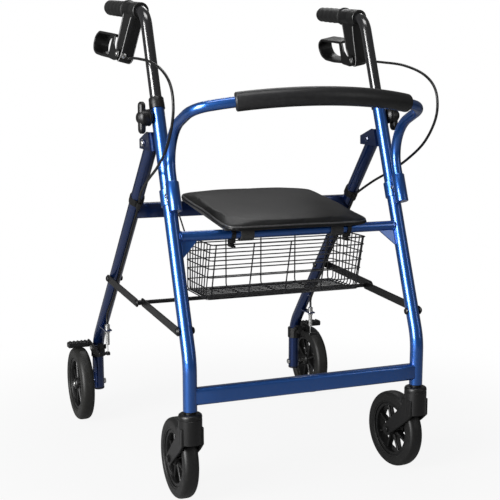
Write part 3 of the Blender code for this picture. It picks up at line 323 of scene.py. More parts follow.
def closed_wire(line, radius, sides=8):
    """A round wire along a closed line: each circle lies in the plane of the upward
    direction and of the level direction square to the line."""
    along = np.roll(line, -1, axis=0) - np.roll(line, 1, axis=0)
    outwards = unit(np.stack([along[:, 1], -along[:, 0], 0 * along[:, 0]], axis=1))
    circle = ring(radius, sides)
    spread = circle[None, :, :1] * outwards[:, None] + circle[None, :, 1:] * np.array((0, 0, 1.0))
    return grid(line[:, None] + spread, wrap_rows=True)


def inward(outline, by):
    """An outline moved inwards: each corner goes along the mean of its two sides'
    normals, further where the corner is sharp."""
    edges = unit(np.roll(outline, -1, axis=0) - outline)
    normals = np.stack([-edges[:, 1], edges[:, 0]], axis=1)
    middle = unit(normals + np.roll(normals, 1, axis=0))
    return outline + middle * by / np.maximum((middle * normals).sum(axis=1, keepdims=True), 0.4)


def plate(outline, low, high, matrix=np.eye(4), edge=0.0006, corner=0.0):
    """A plate whose outline lies in (y, z) and whose thickness runs along x: its two
    faces are a little smaller than its sides, which leaves a chamfer all round."""
    outline = np.asarray(outline, float)
    following = np.roll(outline, -1, axis=0)
    if (outline[:, 0] * following[:, 1] - outline[:, 1] * following[:, 0]).sum() < 0:
        outline = outline[::-1]
    if corner:
        outline = fillet(outline, corner, closed=True, steps=5)
    low, high = min(low, high), max(low, high)
    small = inward(outline, edge)
    rows = [(small, low), (outline, low + edge), (outline, high - edge), (small, high)]
    points = np.stack([np.column_stack([np.full(len(o), x), o]) for o, x in rows])
    points, faces = grid(points)
    count = len(outline)
    faces += [list(range(count)), list(range(3 * count, 4 * count))[::-1]]
    return put(points, matrix), faces


def box(low, high, edge):
    outline = [(low[1], low[2]), (high[1], low[2]), (high[1], high[2]), (low[1], high[2])]
    return plate(outline, low[0], high[0], edge=edge)


def bar_outline(start, end, radius):
    """A bar with round ends between two points of the plane."""
    start, end = np.asarray(start, float), np.asarray(end, float)
    turned_by = math.atan2(*(end - start)[::-1])
    angle = np.linspace(-math.pi / 2, math.pi / 2, 11) + turned_by
    cap = radius * np.stack([np.cos(angle), np.sin(angle)], axis=1)
    return np.vstack([end + cap, start - cap])


def dome(radius, height, matrix):
    """The head of a rivet or bolt: a low dome on a short side wall."""
    profile = [(0, height), (radius * 0.45, height * 0.93), (radius * 0.8, height * 0.68),
               (radius, height * 0.28), (radius, -0.0005), (0, -0.0005)]
    return turned(profile, matrix, 24)


def hexagon(radius, height, matrix):
    """A six-sided head: its top edge is turned down a little all round."""
    profile = [(0, height), (radius * 0.86, height), (radius, height * 0.78), (radius, -0.0005),
               (0, -0.0005)]
    return turned(profile, matrix, 6)


# %% [markdown]
# Two effects return in every finish, so each is a node group that is
# built once. The first makes small uneven colour and gloss, as handling and
# dust leave on paint, plastic and rubber. The second gives the fine height of
# a moulded or sprayed surface. Both read the piece's own coordinates, so the
# pattern stays on the piece when the walker folds.

# %% Shared effects
BUMP_HEIGHT = 0.0004


def fill(made, **values):
    """Set a node's named inputs; a low line in a name stands for a space."""
    for label, value in values.items():
        made.inputs[label.replace("_", " ")].default_value = value
    return made


def node(tree, kind, **values):
    return fill(tree.nodes.new("ShaderNode" + kind), **values)


def link(tree, *wires):
    """Each wire says the node and output it starts from and the node and input it ends in."""
    for source, output, target, entry in wires:
        tree.links.new(source.outputs[output], target.inputs[entry])


def new_group(name, inputs, outputs):
    group = bpy.data.node_groups.new(name, "ShaderNodeTree")
    for label, value in inputs:
        socket = group.interface.new_socket(name=label, in_out="INPUT", socket_type="NodeSocketFloat")
        socket.default_value = value
    for label in outputs:
        group.interface.new_socket(name=label, in_out="OUTPUT", socket_type="NodeSocketFloat")
    return group, group.nodes.new("NodeGroupInput"), group.nodes.new("NodeGroupOutput")


def build_handling():
    """Broad clouds times fine specks: clouds of a few centimetres set how much dust or
    rubbing there is, and a fine noise breaks it up."""
    group, inside, outside = new_group("handling", [("Clouds", 14.0)], ["Dust", "Clouds"])
    place = node(group, "TexCoord")
    clouds, specks = node(group, "TexNoise", Detail=3), node(group, "TexNoise", Detail=2, Scale=160)
    sharper = node(group, "MapRange", From_Min=0.42, From_Max=0.72)
    product = node(group, "Math")
    product.operation = "MULTIPLY"
    link(group, (place, "Object", clouds, "Vector"), (place, "Object", specks, "Vector"),
         (inside, "Clouds", clouds, "Scale"), (specks, "Fac", sharper, "Value"),
         (sharper, "Result", product, 0), (clouds, "Fac", product, 1),
         (product, 0, outside, "Dust"), (clouds, "Fac", outside, "Clouds"))
    return group


def build_grain():
    """Cells and noise added: the distance to the nearest of many scattered points gives
    pebbles, and a noise of the same scale keeps them from looking regular."""
    group, inside, outside = new_group("grain", [("Scale", 400.0), ("Pebbles", 0.5)], ["Height"])
    place, cells = node(group, "TexCoord"), node(group, "TexVoronoi")
    noise, mix = node(group, "TexNoise", Detail=3), node(group, "Mix")
    link(group, (place, "Object", cells, "Vector"), (place, "Object", noise, "Vector"),
         (inside, "Scale", cells, "Scale"), (inside, "Scale", noise, "Scale"),
         (inside, "Pebbles", mix, "Factor"), (noise, "Fac", mix, "A"), (cells, "Distance", mix, "B"),
         (mix, "Result", outside, "Height"))
    return group


HANDLING, GRAIN = build_handling(), build_grain()


def finish(name, colour, dusty, rough, rough_spread, grain, pebbles, depth, metal=0.0,
           clouds=14.0, dust=0.5, shine=0.5):
    """A surface finish: its colour leans to a dustier one where the handling mask is high,
    its roughness follows the clouds, and its height is the grain."""
    material = bpy.data.materials.new(name)
    material.use_nodes = True
    tree = material.node_tree
    shader = fill(tree.nodes["Principled BSDF"], Metallic=metal, Specular_IOR_Level=shine)
    handling, texture = node(tree, "Group"), node(tree, "Group")
    handling.node_tree, texture.node_tree = HANDLING, GRAIN
    fill(handling, Clouds=clouds)
    fill(texture, Scale=grain, Pebbles=pebbles)
    tint, amount = node(tree, "Mix"), node(tree, "Math")
    tint.data_type, amount.operation = "RGBA", "MULTIPLY"
    fill(tint, A=(*colour, 1), B=(*dusty, 1))
    amount.inputs[1].default_value = dust
    gloss = node(tree, "MapRange", To_Min=rough - rough_spread, To_Max=rough + rough_spread)
    bump = node(tree, "Bump", Strength=depth, Distance=BUMP_HEIGHT)
    link(tree, (handling, "Dust", amount, 0), (amount, 0, tint, "Factor"),
         (tint, "Result", shader, "Base Color"), (handling, "Clouds", gloss, "Value"),
         (gloss, "Result", shader, "Roughness"), (texture, "Height", bump, "Height"),
         (bump, "Normal", shader, "Normal"))
    return material


# %% [markdown]
# The paint is a deep metallic blue under clear lacquer. The metal in it makes
# the lit side of a tube glow while its edges go nearly black, and the lacquer
# adds a sharp stripe of light on top. The rear frame looks darker in the
# photograph and its brackets darker still, because they stand in shade. The
# same paint therefore comes three times: the lit blue, and two darker copies
# of it that are painted shade.

# %% Paints
def lacquer(material, weight, rough):
    fill(material.node_tree.nodes["Principled BSDF"], Coat_Weight=weight, Coat_Roughness=rough)
    return material


BLUE = lacquer(finish("blue_paint", (0.014, 0.088, 0.340), (0.028, 0.104, 0.320), 0.33, 0.04,
                      900, 0.2, 0.006, metal=0.86, dust=0.35), 1.0, 0.11)
# Painted shade: the same blue paint made darker for the rear frame, which stands in shade.
SHADED_BLUE = lacquer(finish("blue_paint_in_painted_shade", (0.005, 0.022, 0.100), (0.014, 0.034, 0.110), 0.28, 0.04,
                           900, 0.2, 0.006, metal=0.82, dust=0.35), 1.0, 0.11)
# Deeper painted shade: the same blue paint made darker still for the pivot brackets.
DEEPER_SHADED_BLUE = lacquer(finish("dark_blue_paint", (0.005, 0.013, 0.050), (0.014, 0.024, 0.062), 0.32, 0.05,
                           900, 0.2, 0.010, metal=0.6, dust=0.35), 0.8, 0.06)
BLACK_TUBE = lacquer(finish("black_tube", (0.006, 0.006, 0.007), (0.010, 0.010, 0.010), 0.20, 0.03,
                            900, 0.2, 0.004, dust=0.3, shine=0.9), 0.6, 0.14)
BLACK_STEEL = finish("black_steel", (0.0028, 0.0028, 0.0030), (0.0090, 0.0088, 0.0085), 0.34, 0.06,
                     700, 0.3, 0.08, dust=0.5, shine=0.4)
WIRE_COAT = finish("wire_coat", (0.007, 0.007, 0.008), (0.022, 0.022, 0.021), 0.26, 0.05,
                   600, 0.2, 0.04, dust=0.4)

# %% [markdown]
# The soft and moulded finishes are all nearly black, and what tells them
# apart is their gloss and their grain: the seat's vinyl has a fine leather
# pebble and a sheen, the foam a dull open pore, the grips a dry rubber look,
# the plastic a tight spark-eroded texture, and the tyres a dusty dark grey.

# %% Plastics, rubber, foam and vinyl
PLASTIC = finish("black_plastic", (0.0022, 0.0022, 0.0023), (0.0080, 0.0080, 0.0078), 0.38, 0.06,
                 1100, 0.5, 0.10, dust=0.45, shine=0.4)
# Painted highlight: a light grey that paints the thin line of light on the brake housing's rim.
PAINTED_HIGHLIGHT = finish("painted_highlight_line", (0.230, 0.230, 0.230), (0.360, 0.360, 0.355), 0.34, 0.06,
                   900, 0.4, 0.10, dust=0.6)
RIM = finish("rim_plastic", (0.0022, 0.0022, 0.0023), (0.0080, 0.0080, 0.0076), 0.38, 0.07,
             1000, 0.4, 0.10, dust=0.6, shine=0.4)
GRIP = finish("grip_rubber", (0.0035, 0.0035, 0.0036), (0.0120, 0.0120, 0.0117), 0.48, 0.07,
              850, 0.7, 0.18, dust=0.5, shine=0.4)
FOAM = finish("foam", (0.007, 0.007, 0.0075), (0.028, 0.028, 0.029), 0.42, 0.05,
              520, 0.8, 0.20, dust=0.4, shine=0.45)
VINYL = finish("vinyl", (0.0035, 0.0035, 0.0036), (0.0110, 0.0110, 0.0108), 0.42, 0.06,
               620, 0.9, 0.30, clouds=9, dust=0.4, shine=0.22)
# The welt's lighter grey is partly worn vinyl and partly a painted highlight along the piping.
WELT = finish("welt", (0.030, 0.030, 0.031), (0.085, 0.085, 0.084), 0.30, 0.06,
              620, 0.5, 0.14, clouds=9, dust=0.5)
BOARD = finish("seat_board", (0.020, 0.020, 0.020), (0.060, 0.058, 0.054), 0.6, 0.08,
               500, 0.4, 0.2, dust=0.5)
TYRE = finish("tyre", (0.0065, 0.0065, 0.0060), (0.0180, 0.0175, 0.0150), 0.50, 0.08,
              500, 0.5, 0.18, clouds=20, dust=0.6, shine=0.35)
FRONT_TYRE = finish("front_tyre_rubber", (0.0035, 0.0035, 0.0035), (0.0120, 0.0118, 0.0110), 0.46, 0.08,
                    500, 0.5, 0.18, clouds=20, dust=0.5, shine=0.38)
STEEL = finish("zinc_steel", (0.62, 0.62, 0.61), (0.42, 0.41, 0.39), 0.26, 0.08,
               700, 0.3, 0.06, metal=1.0, dust=0.6)

# %% [markdown]
# The uprights are one-inch steel tube. Each stands straight over its caster
# and then leans back in one wide bend. A path of two runs with a rounded
# corner gives that bend at once, and a circle carried along it gives the tube.

# %% Uprights
for side, word in SIDES:
    x = side * LEG_X
    path = fillet([(x, -CENTRE_Y, FOOT_Z), (x, -CENTRE_Y, BEND_Z), upright(x, 0, LEG_TOP)],
                  [BEND_RADIUS], steps=20)
    piece("upright_" + word, carry(path, ring(TUBE_R, 40), edge=0.0009), BLUE, "front_frame",
          ["front_leg_" + word])

# %% [markdown]
# Two tubes join the uprights: a flat-sided bar low down, and a thin round
# tube under the seat with a small triangular plate welded under each end. The
# welds themselves are short rings of slightly raised paint round the joints.

# %% Cross members of the front frame
BAR_Z, SEAT_TUBE, SEAT_TUBE_R, BEAD_R = 0.2072, 0.2249, 0.0095, 0.0016
GUSSET_LONG, GUSSET_HIGH, GUSSET_HALF = 0.040, 0.046, 0.0015


def weld(centre, radius, matrix):
    """A bead round a joint: a small circle carried round a larger one."""
    angle = np.linspace(0, 2 * math.pi, 40, endpoint=False)[:, None]
    small = np.linspace(0, 2 * math.pi, 8, endpoint=False)[None, :]
    out = radius + BEAD_R * np.cos(small)
    up = BEAD_R * np.sin(small) + 0 * angle
    points = np.stack([out * np.cos(angle), out * np.sin(angle), up], axis=-1)
    return grid(put(points, shift(*centre) @ matrix), wrap_rows=True)


bar = carry(np.linspace((-LEG_X, -CENTRE_Y, BAR_Z), (LEG_X, -CENTRE_Y, BAR_Z), 9),
            rectangle(0.031, 0.020, 0.006), across=(0, 0, 1))
piece("lower_crossbar", bar, BLUE, "front_frame", ["front_crossbar"])
ends = np.linspace(upright(-LEG_X, 0, SEAT_TUBE), upright(LEG_X, 0, SEAT_TUBE), 9)
under_seat = [carry(ends, ring(SEAT_TUBE_R, 32), across=(0, 0, 1))]
flat = UPRIGHT @ turn("X", math.pi / 2)
AXES_TURNED = np.eye(4)[[1, 2, 0, 3]]       # a plate's thickness then lies along Z
for side, word in SIDES:
    outer, inner = side * (LEG_X - TUBE_R / 2), side * (LEG_X - TUBE_R - GUSSET_LONG)
    outline = np.array([(inner, SEAT_TUBE), (outer, SEAT_TUBE - GUSSET_HIGH), (outer, SEAT_TUBE)])
    under_seat.append(plate(outline, -GUSSET_HALF, GUSSET_HALF, flat @ AXES_TURNED, edge=0.0004))
    at = upright(side * (LEG_X - TUBE_R), 0, SEAT_TUBE)
    under_seat.append(weld(at, SEAT_TUBE_R, turn("Y", math.pi / 2)))
piece("seat_front_tube", together(*under_seat), BLUE, "front_frame", ["seat_crosstube"])

# %% [markdown]
# The backrest is a thinner tube that rises ahead of each upright, turns
# forward, and runs across in a shallow bow. Its ends stand in short sockets
# which are clamped to the uprights. The foam sleeve is a rounded tube about
# the middle of the same bow, so it can't drift off it.

# %% Backrest tube and foam
HOOP_R, HOOP_AHEAD, HOOP_BOTTOM, HOOP_TOP = 0.0095, 0.0294, 0.268, 0.406
HOOP_CORNER, HOOP_BOW, HOOP_BENDS = (0.2229, 0.1636), 0.0584, [0.075, 0.050]
FOAM_R, FOAM_SPAN, FOAM_EDGE = 0.0165, (-0.157, 0.177), 0.0022


def bow(x):
    """The backrest's front line: an arc of a circle seen from above the leaning plane."""
    half, corner = HOOP_CORNER
    radius = (half ** 2 + HOOP_BOW ** 2) / (2 * HOOP_BOW)
    ahead = corner + HOOP_BOW - radius + np.sqrt(radius ** 2 - x ** 2)
    return put(np.stack([x, -ahead, np.full_like(x, HOOP_TOP)], axis=-1), UPRIGHT)


coarse = bow(np.linspace(-HOOP_CORNER[0], HOOP_CORNER[0], 11))
start = [upright(-LEG_X, -HOOP_AHEAD, HOOP_BOTTOM), upright(-LEG_X, -HOOP_AHEAD, HOOP_TOP)]
corners = fillet([*start, *coarse[:2]], HOOP_BENDS, steps=18)[:-1]
middle = bow(np.linspace(-HOOP_CORNER[0] * 0.8, HOOP_CORNER[0] * 0.8, 33))
mirrored = corners[::-1] * (-1, 1, 1)
hoop = np.vstack([corners, middle, mirrored])
back_up = put((0, 1.0, 1.0), UPRIGHT) - put((0, 0, 0), UPRIGHT)
piece("backrest_bar", carry(hoop, ring(HOOP_R, 32), across=back_up), BLUE, "front_frame",
      ["backrest_tube"])
foam_line = bow(np.linspace(*FOAM_SPAN, 90))
sleeve = carry(foam_line, ring(FOAM_R, 56), across=back_up, edge=FOAM_EDGE)
foam = piece("backrest_foam", sleeve, FOAM, "front_frame", ["backrest_pad"], smooth=60)

# %% [markdown]
# The sockets are short sleeves joined by a web to a ring round the upright.
# The photograph shows bright screw heads on them, so each web has a zinc
# screw on its outer side with a smaller one below it, and a nut inside.

# %% Backrest sockets
CLAMP_LOW, CLAMP_HIGH, CLAMP_R, WEB_HALF = 0.282, 0.312, TUBE_R + 0.0028, 0.009
CLEAR = 0.0003              # the gap between two pieces that touch
for side, word in SIDES:
    x = side * LEG_X
    profile = [(0, -0.0036), (0.0115, -0.0036), (0.0122, -0.0029), (0.0122, 0.0490),
               (0.0116, 0.0500), (0.0097, 0.0500), (0.0097, 0.0450), (0, 0.0450)]
    cup = turned(profile, UPRIGHT @ shift(x, -HOOP_AHEAD, HOOP_BOTTOM), 40)
    profile = [(TUBE_R + CLEAR, CLAMP_LOW), (CLAMP_R - 0.0006, CLAMP_LOW), (CLAMP_R, CLAMP_LOW + 0.0006),
               (CLAMP_R, CLAMP_HIGH - 0.0006), (CLAMP_R - 0.0006, CLAMP_HIGH),
               (TUBE_R + CLEAR, CLAMP_HIGH)]
    clamp = turned(profile, UPRIGHT @ shift(x, 0, 0), 40, closed=True)
    web = plate([(-HOOP_AHEAD, 0.285), (-TUBE_R, 0.285), (-TUBE_R, 0.309), (-HOOP_AHEAD, 0.309)],
                x - WEB_HALF, x + WEB_HALF, UPRIGHT, edge=0.0012)
    piece("backrest_socket_shell_" + word, together(cup, clamp, web), BLUE, "front_frame",
          ["backrest_socket_" + word])
    high, low = upright(0, -0.0165, 0.297)[1:], upright(0, -0.0165, 0.2885)[1:]
    screw = together(hexagon(0.0042, 0.0030, sideways(LEG_X + WEB_HALF, *high, side)),
                     dome(0.0034, 0.0018, sideways(LEG_X + WEB_HALF, *low, side)),
                     hexagon(0.0038, 0.0026, sideways(LEG_X - WEB_HALF, *high, side) @ FLIP))
    piece("socket_screws_" + word, screw, STEEL, "front_frame")

# %% [markdown]
# The rear leg is the same one-inch tube, sloping down and back and then
# turning upright over the wheel. A black plug closes its lower end, and a
# small tongue ahead of it holds the end of the brake cable. The tube between
# the rear legs is flat-sided, and the seat rests on it. A bright rivet head
# shows on the outer side of each pivot between the frames.

# %% Rear legs and the tube between them
REAR_FOOT_Z, REAR_LEG_TOP, REAR_BEND, REAR_TUBE = 0.066, -0.014, 0.10, 0.1827
TONGUE_Y, TONGUE_Z, TONGUE_HALF = 0.496 - CENTRE_Y, (0.2215, 0.2245), 0.008
REAR_TUBE_HALF_DEEP, REAR_TUBE_HALF_HIGH = 0.011, 0.015
for side, word in SIDES:
    x = side * REAR_X_LOW
    path = fillet([rear_leg(side, REAR_LEG_TOP), rear_leg(side, REAR_CORNER),
                   (x, REAR_Y, REAR_FOOT_Z)], [REAR_BEND], steps=20)
    leg = carry(path, ring(TUBE_R, 40), edge=0.0009)
    tongue = box((x - TONGUE_HALF, TONGUE_Y, TONGUE_Z[0]),
                 (x + TONGUE_HALF, REAR_Y - 0.035, TONGUE_Z[1]), edge=0.0005)
    # The rear legs take the darker copy of the blue: painted shade on the uprights' paint.
    piece("rear_tube_" + word, together(leg, tongue), SHADED_BLUE, "rear_frame", ["rear_leg_" + word])
    plug = [(0, -0.0002), (TUBE_R - 0.0013, -0.0002), (TUBE_R - 0.0006, 0.0012),
            (TUBE_R + CLEAR, 0.0016), (TUBE_R + CLEAR, 0.0042), (0, 0.0042)]
    piece("leg_plug_" + word, turned(plug, shift(x, REAR_Y, REAR_FOOT_Z), 32), PLASTIC, "rear_frame")
centre = rear_leg(0, REAR_TUBE)
half = abs(rear_leg(1, REAR_TUBE)[0])
section = rectangle(2 * REAR_TUBE_HALF_HIGH, 2 * REAR_TUBE_HALF_DEEP, 0.004)
bar = carry(np.linspace((-half, *centre[1:]), (half, *centre[1:]), 9), section, across=(0, 0, 1))
# The tube between the rear legs takes the same painted shade.
piece("seat_rear_tube", bar, SHADED_BLUE, "rear_frame", ["rear_crosstube"])
# The pivot brackets take the darkest copy of the blue: deeper painted shade.
refinish(DEEPER_SHADED_BLUE, "pivot_bracket_left", "pivot_bracket_right")
for side, word in SIDES:
    head = dome(0.0062, 0.0030, sideways(REAR_X_TOP + 0.0195, PIVOT[1], PIVOT[2], side))
    piece("pivot_washer_" + word, head, STEEL, "front_frame")

# %% [markdown]
# Handles. A glossy black tube slides in each upright and turns over into the
# grip. The dark collar where it enters is moulded plastic, and the T-shaped
# knob on the outer side below it clamps the height. Both are turned shapes;
# the knob's wing is a bar with round ends.

# %% Handle tubes, collars and knobs
HANDLE_R, BORE_R, COLLAR_R, COLLAR_UP = 0.0108, 0.0111, 0.0143, 0.0183
GRIP_REACH, GRIP_LENGTH, GRIP_R = 0.2180, 0.126, 0.0148
GRIP_START = GRIP_REACH - GRIP_LENGTH
KNOB_UP, KNOB_R, KNOB_LONG = 0.4494, 0.0155, 0.0240
for side, word in SIDES:
    x, place = side * LEG_X, handle_frame(side)
    top = put((0, GRIP_REACH - 0.005, 0), place)
    path = fillet([upright(x, 0, LEG_TOP - 0.120), place[:3, 3], top], [0.045], steps=22)
    piece("handle_bar_" + word, carry(path, ring(HANDLE_R, 36)), BLACK_TUBE, "handle_" + word,
          ["handle_tube_" + word])
    profile = [(BORE_R, COLLAR_UP), (COLLAR_R * 0.90, COLLAR_UP), (COLLAR_R * 0.97, COLLAR_UP - 0.0016),
               (COLLAR_R * 0.98, COLLAR_UP * 0.55), (COLLAR_R, COLLAR_UP * 0.45),
               (COLLAR_R + 0.0001, 0.001), (COLLAR_R + 0.0003, -0.0026), (COLLAR_R - 0.0004, -0.003),
               (0.0133, -0.003), (0.0133, CLEAR), (BORE_R, CLEAR)]
    collar = turned(profile, UPRIGHT @ shift(x, 0, LEG_TOP), 48, closed=True)
    piece("collar_" + word, collar, PLASTIC, "front_frame", ["height_collar_" + word])
    centre = upright(0, 0, KNOB_UP)
    base = LEG_X + TUBE_R + CLEAR
    end = base + KNOB_LONG
    profile = [(0, end + 0.004), (0.0060, end + 0.004), (0.0078, end + 0.0030), (0.0112, end),
               (KNOB_R - 0.0006, end - 0.0030), (KNOB_R, end - 0.0060), (KNOB_R, base + 0.0100),
               (KNOB_R - 0.0010, base + 0.0095), (KNOB_R - 0.0010, base + 0.0070),
               (KNOB_R, base + 0.0065), (KNOB_R - 0.0003, base + 0.0040), (0.0108, base), (0, base)]
    hub = turned(profile, sideways(0, centre[1], centre[2], side), 48)
    wing = plate(bar_outline((0, -0.020), (0, 0.020), 0.009), side * (end - 0.011), side * end,
                 shift(0, centre[1], centre[2]), edge=0.0026)
    piece("clamp_knob_wing_" + word, together(hub, wing), PLASTIC, "knob_" + word,
          ["clamp_knob_" + word])

# %% [markdown]
# The grip is a rubber sleeve with low finger ribs and a collar at its front.
# Its ribs are a cosine along the profile: the radius goes up and down about
# four times between the collar and the rounded end.

# %% Hand grips
RIB_HIGH, RIB_PITCH, LIP_R = 0.00045, 0.0235, 0.0182


def grip_profile():
    """Radius = a belly that is widest in the middle, plus a cosine for the ribs."""
    along = np.linspace(0.012, GRIP_LENGTH - 0.010, 60)
    belly = GRIP_R * (0.985 + 0.035 * np.sin(math.pi * along / GRIP_LENGTH))
    ribs = RIB_HIGH * np.cos(2 * math.pi * along / RIB_PITCH)
    body = np.stack([belly + ribs, GRIP_START + along], axis=1)
    front = [(BORE_R, 0), (LIP_R - 0.0006, 0), (LIP_R, 0.0008), (LIP_R, 0.0042),
             (LIP_R - 0.0008, 0.0056), (0.0158, 0.0085)]
    back = [(GRIP_R * 0.93, -0.0060), (GRIP_R * 0.80, -0.0018), (GRIP_R * 0.55, -0.0003),
            (0.0052, 0), (0.0046, -0.0015), (0, -0.0015)]
    return np.vstack([np.array(front) + (0, GRIP_START), body, np.array(back) + (0, GRIP_REACH)])


for side, word in SIDES:
    sleeve = turned(grip_profile(), handle_frame(side) @ turn("X", -math.pi / 2), 48)
    piece("grip_sleeve_" + word, sleeve, GRIP, "handle_" + word, ["hand_grip_" + word], smooth=55)

# %% [markdown]
# The brake housing hangs below the tube as a flat moulded body with a clamp
# at its top. Its side is dished behind a raised rim, which catches a thin
# line of light in the photograph. A thin light grey wire laid along the rim
# paints that line as a painted highlight. A bright screw shows where the
# left cable enters.

# %% Brake housings
HOUSING = np.array([(0.030, 0.0), (0.088, 0.0), (0.0855, -0.030), (0.0850, -0.066), (0.076, -0.088),
                    (0.066, -0.098), (0.054, -0.102), (0.045, -0.096), (0.040, -0.084),
                    (0.0375, -0.045), (0.034, -0.016)])[::-1]
HOUSING_ROUND = [0.004, 0.004, 0.02, 0.02, 0.010, 0.010, 0.010, 0.010, 0.02, 0.05, 0.02]
HOUSING_HALF, HOUSING_RIM, SADDLE_R = 0.013, 0.0010, 0.0160
LEVER_PIVOT = (0.058, -0.087)


def dished(outline, half, rim, depth, matrix):
    """A thick plate whose faces are sunk inside a rim: on each side, five rings go inwards
    from the side wall, and the last is lower than the rim by the depth."""
    steps = [(0.0, half - 0.0028), (0.0007, half - 0.0010), (0.0026, half), (0.0026 + rim, half),
             (0.0040 + rim, half - depth)]
    rows = [(inward(outline, by), at) for by, at in steps]
    rows = [(o, -x) for o, x in rows[::-1]] + rows
    points = np.stack([np.column_stack([np.full(len(o), x), o]) for o, x in rows])
    points, faces = grid(points)
    count = len(outline)
    faces += [list(range(count)), list(range(len(points) - count, len(points)))[::-1]]
    return put(points, matrix), faces


for side, word in SIDES:
    place, tilted = handle_frame(side), brake_frame(side)
    outline = fillet(HOUSING, HOUSING_ROUND, closed=True, steps=6)
    body = dished(outline, HOUSING_HALF, HOUSING_RIM, 0.0012, tilted)
    profile = [(BORE_R, 0.022), (SADDLE_R - 0.0008, 0.022), (SADDLE_R, 0.0228), (SADDLE_R, 0.0520),
               (SADDLE_R - 0.0004, 0.0530), (SADDLE_R - 0.0004, 0.0560), (SADDLE_R, 0.0570),
               (SADDLE_R, 0.0907), (SADDLE_R - 0.0008, 0.0915), (BORE_R, 0.0915)]
    clamp = turned(profile, place @ turn("X", -math.pi / 2), 48, closed=True)
    piece("brake_body_" + word, together(body, clamp), PLASTIC, "handle_" + word,
          ["brake_housing_" + word])
    # A thin light grey wire along the rim on each face: a painted highlight for the line of light it
    # catches.
    highlight_line = []
    for face in (-1, 1):
        line = inward(outline, HOUSING_RIM)
        path = np.column_stack([np.full(len(line), face * 0.0122), line])
        path = put(path[(path[:, 2] < -0.014) & (path[:, 1] < 0.062)], tilted)
        highlight_line.append(carry(path, ring(0.0007, 8), across=tilted[:3, 0], edge=0.0002))
    piece("brake_body_rim_" + word, together(*highlight_line), PAINTED_HIGHLIGHT, "handle_" + word)
at_front = brake_frame(-1) @ shift(-0.0068, 0.0405, -0.0880) @ turn("X", math.pi / 2)
profile = [(0, 0.0026), (0.0026, 0.0026), (0.0046, 0.0018), (0.0052, 0.0006), (0.0052, -0.003),
           (0, -0.003)]
anchor = together(turned(profile, at_front, 28), hexagon(0.0024, 0.0034, at_front))
piece("cable_anchor_screw", anchor, STEEL, "handle_left")

# %% [markdown]
# The lever is a wide band bent into a loop for the fingers. Its two ends run
# forward as flat cheeks on either side of the housing, and a screw through
# the housing's lower corner is its hinge.

# %% Brake levers
LOOP = np.array([(0.096, -0.0965), (0.150, -0.0985), (0.195, -0.0970), (0.214, -0.0900),
                 (0.2258, -0.0744), (0.220, -0.0590), (0.202, -0.0500), (0.096, -0.0505)])
CHEEK = [(0.048, -0.092), (0.056, -0.0985), (0.070, -0.1005), (0.108, -0.0980), (0.108, -0.0500),
         (0.093, -0.0515), (0.089, -0.070), (0.076, -0.080), (0.060, -0.077), (0.050, -0.080)]
CHEEK_IN, CHEEK_OUT, BAND_THICK = 0.0133, 0.0161, 0.0048
for side, word in SIDES:
    tilted = brake_frame(side)
    line = inward(LOOP, BAND_THICK / 2)
    line = fillet(line, [0.08, 0.05, 0.018, 0.016, 0.016, 0.018], steps=7)
    line[0, 0] = line[-1, 0] = 0.1030
    path = put(np.column_stack([np.zeros(len(line)), line]), tilted)
    band = carry(path, rectangle(2 * CHEEK_OUT, BAND_THICK, 0.0016), across=tilted[:3, 0], edge=0.0004)
    cheeks = [plate(CHEEK, face * CHEEK_IN, face * CHEEK_OUT, tilted, edge=0.0007, corner=0.005)
              for face in (-1, 1)]
    piece("lever_loop_" + word, together(band, *cheeks), PLASTIC, "lever_" + word,
          ["brake_lever_" + word])
    screw = []
    for face in (-1, 1):
        at = tilted @ shift(face * CHEEK_OUT, *LEVER_PIVOT) @ turn("Y", face * math.pi / 2)
        screw += [dome(0.0055, 0.0018, at), hexagon(0.0030, 0.0026, at)]
    piece("lever_screw_" + word, together(*screw), STEEL, "lever_" + word)

# %% [markdown]
# A brake cable leaves each housing, loops forward and out past the upright,
# comes back to a clip on the rear leg and runs down it to the brake. When a
# handle is lowered or the frame folds, the real cable bends. It is made in
# two lengths which meet ahead of the upright: the first runs from the handle
# to that point, and the second from there down the rear leg. Neither rides
# on a body.

# %% Brake cables
CABLE_R, CABLE_STANDOFF, CLIP_AT, BRACE_REAR = 0.0025, 0.0175, 0.1494, 0.3918
ADJUSTER_Y = 0.505 - CENTRE_Y
ADJUSTER_TOP = 0.2368
FROM_HOUSING = np.array([(0.0001, 0.0366, -0.0913), (0.0025, -0.0032, -0.0881),
                         (0.0052, -0.0482, -0.0869)])
CABLE_LOOP = np.array([(0.2550, 0.1200, 0.7880), (0.2560, 0.0500, 0.7710), (0.2560, 0.0080, 0.7470),
                       (0.2560, -0.0060, 0.7150), (0.2560, 0.0030, 0.6800), (0.2550, 0.0380, 0.6400),
                       (0.2532, 0.0950, 0.6060), (0.2520, 0.1550, 0.5800), (0.2475, 0.2100, 0.5580),
                       (0.2415, 0.2520, 0.5370)]) - (0, CENTRE_Y, 0)


def cable_points(side):
    down = [CLIP_AT - 0.006, CLIP_AT + 0.012, CLIP_AT + 0.12, BRACE_REAR]
    on_leg = [rear_leg(side, at, CABLE_STANDOFF) for at in down]
    on_leg.append(rear_leg(side, BRACE_REAR + 0.045, CABLE_STANDOFF + 0.001))
    x = side * REAR_X_LOW
    end = [(x, ADJUSTER_Y - 0.002, ADJUSTER_TOP + 0.022), (x, ADJUSTER_Y, ADJUSTER_TOP + 0.008),
           (x, ADJUSTER_Y, ADJUSTER_TOP)]
    mirror = (side, 1, 1)
    return np.vstack([put(FROM_HOUSING * mirror, brake_frame(side)), CABLE_LOOP * mirror, on_leg, end])


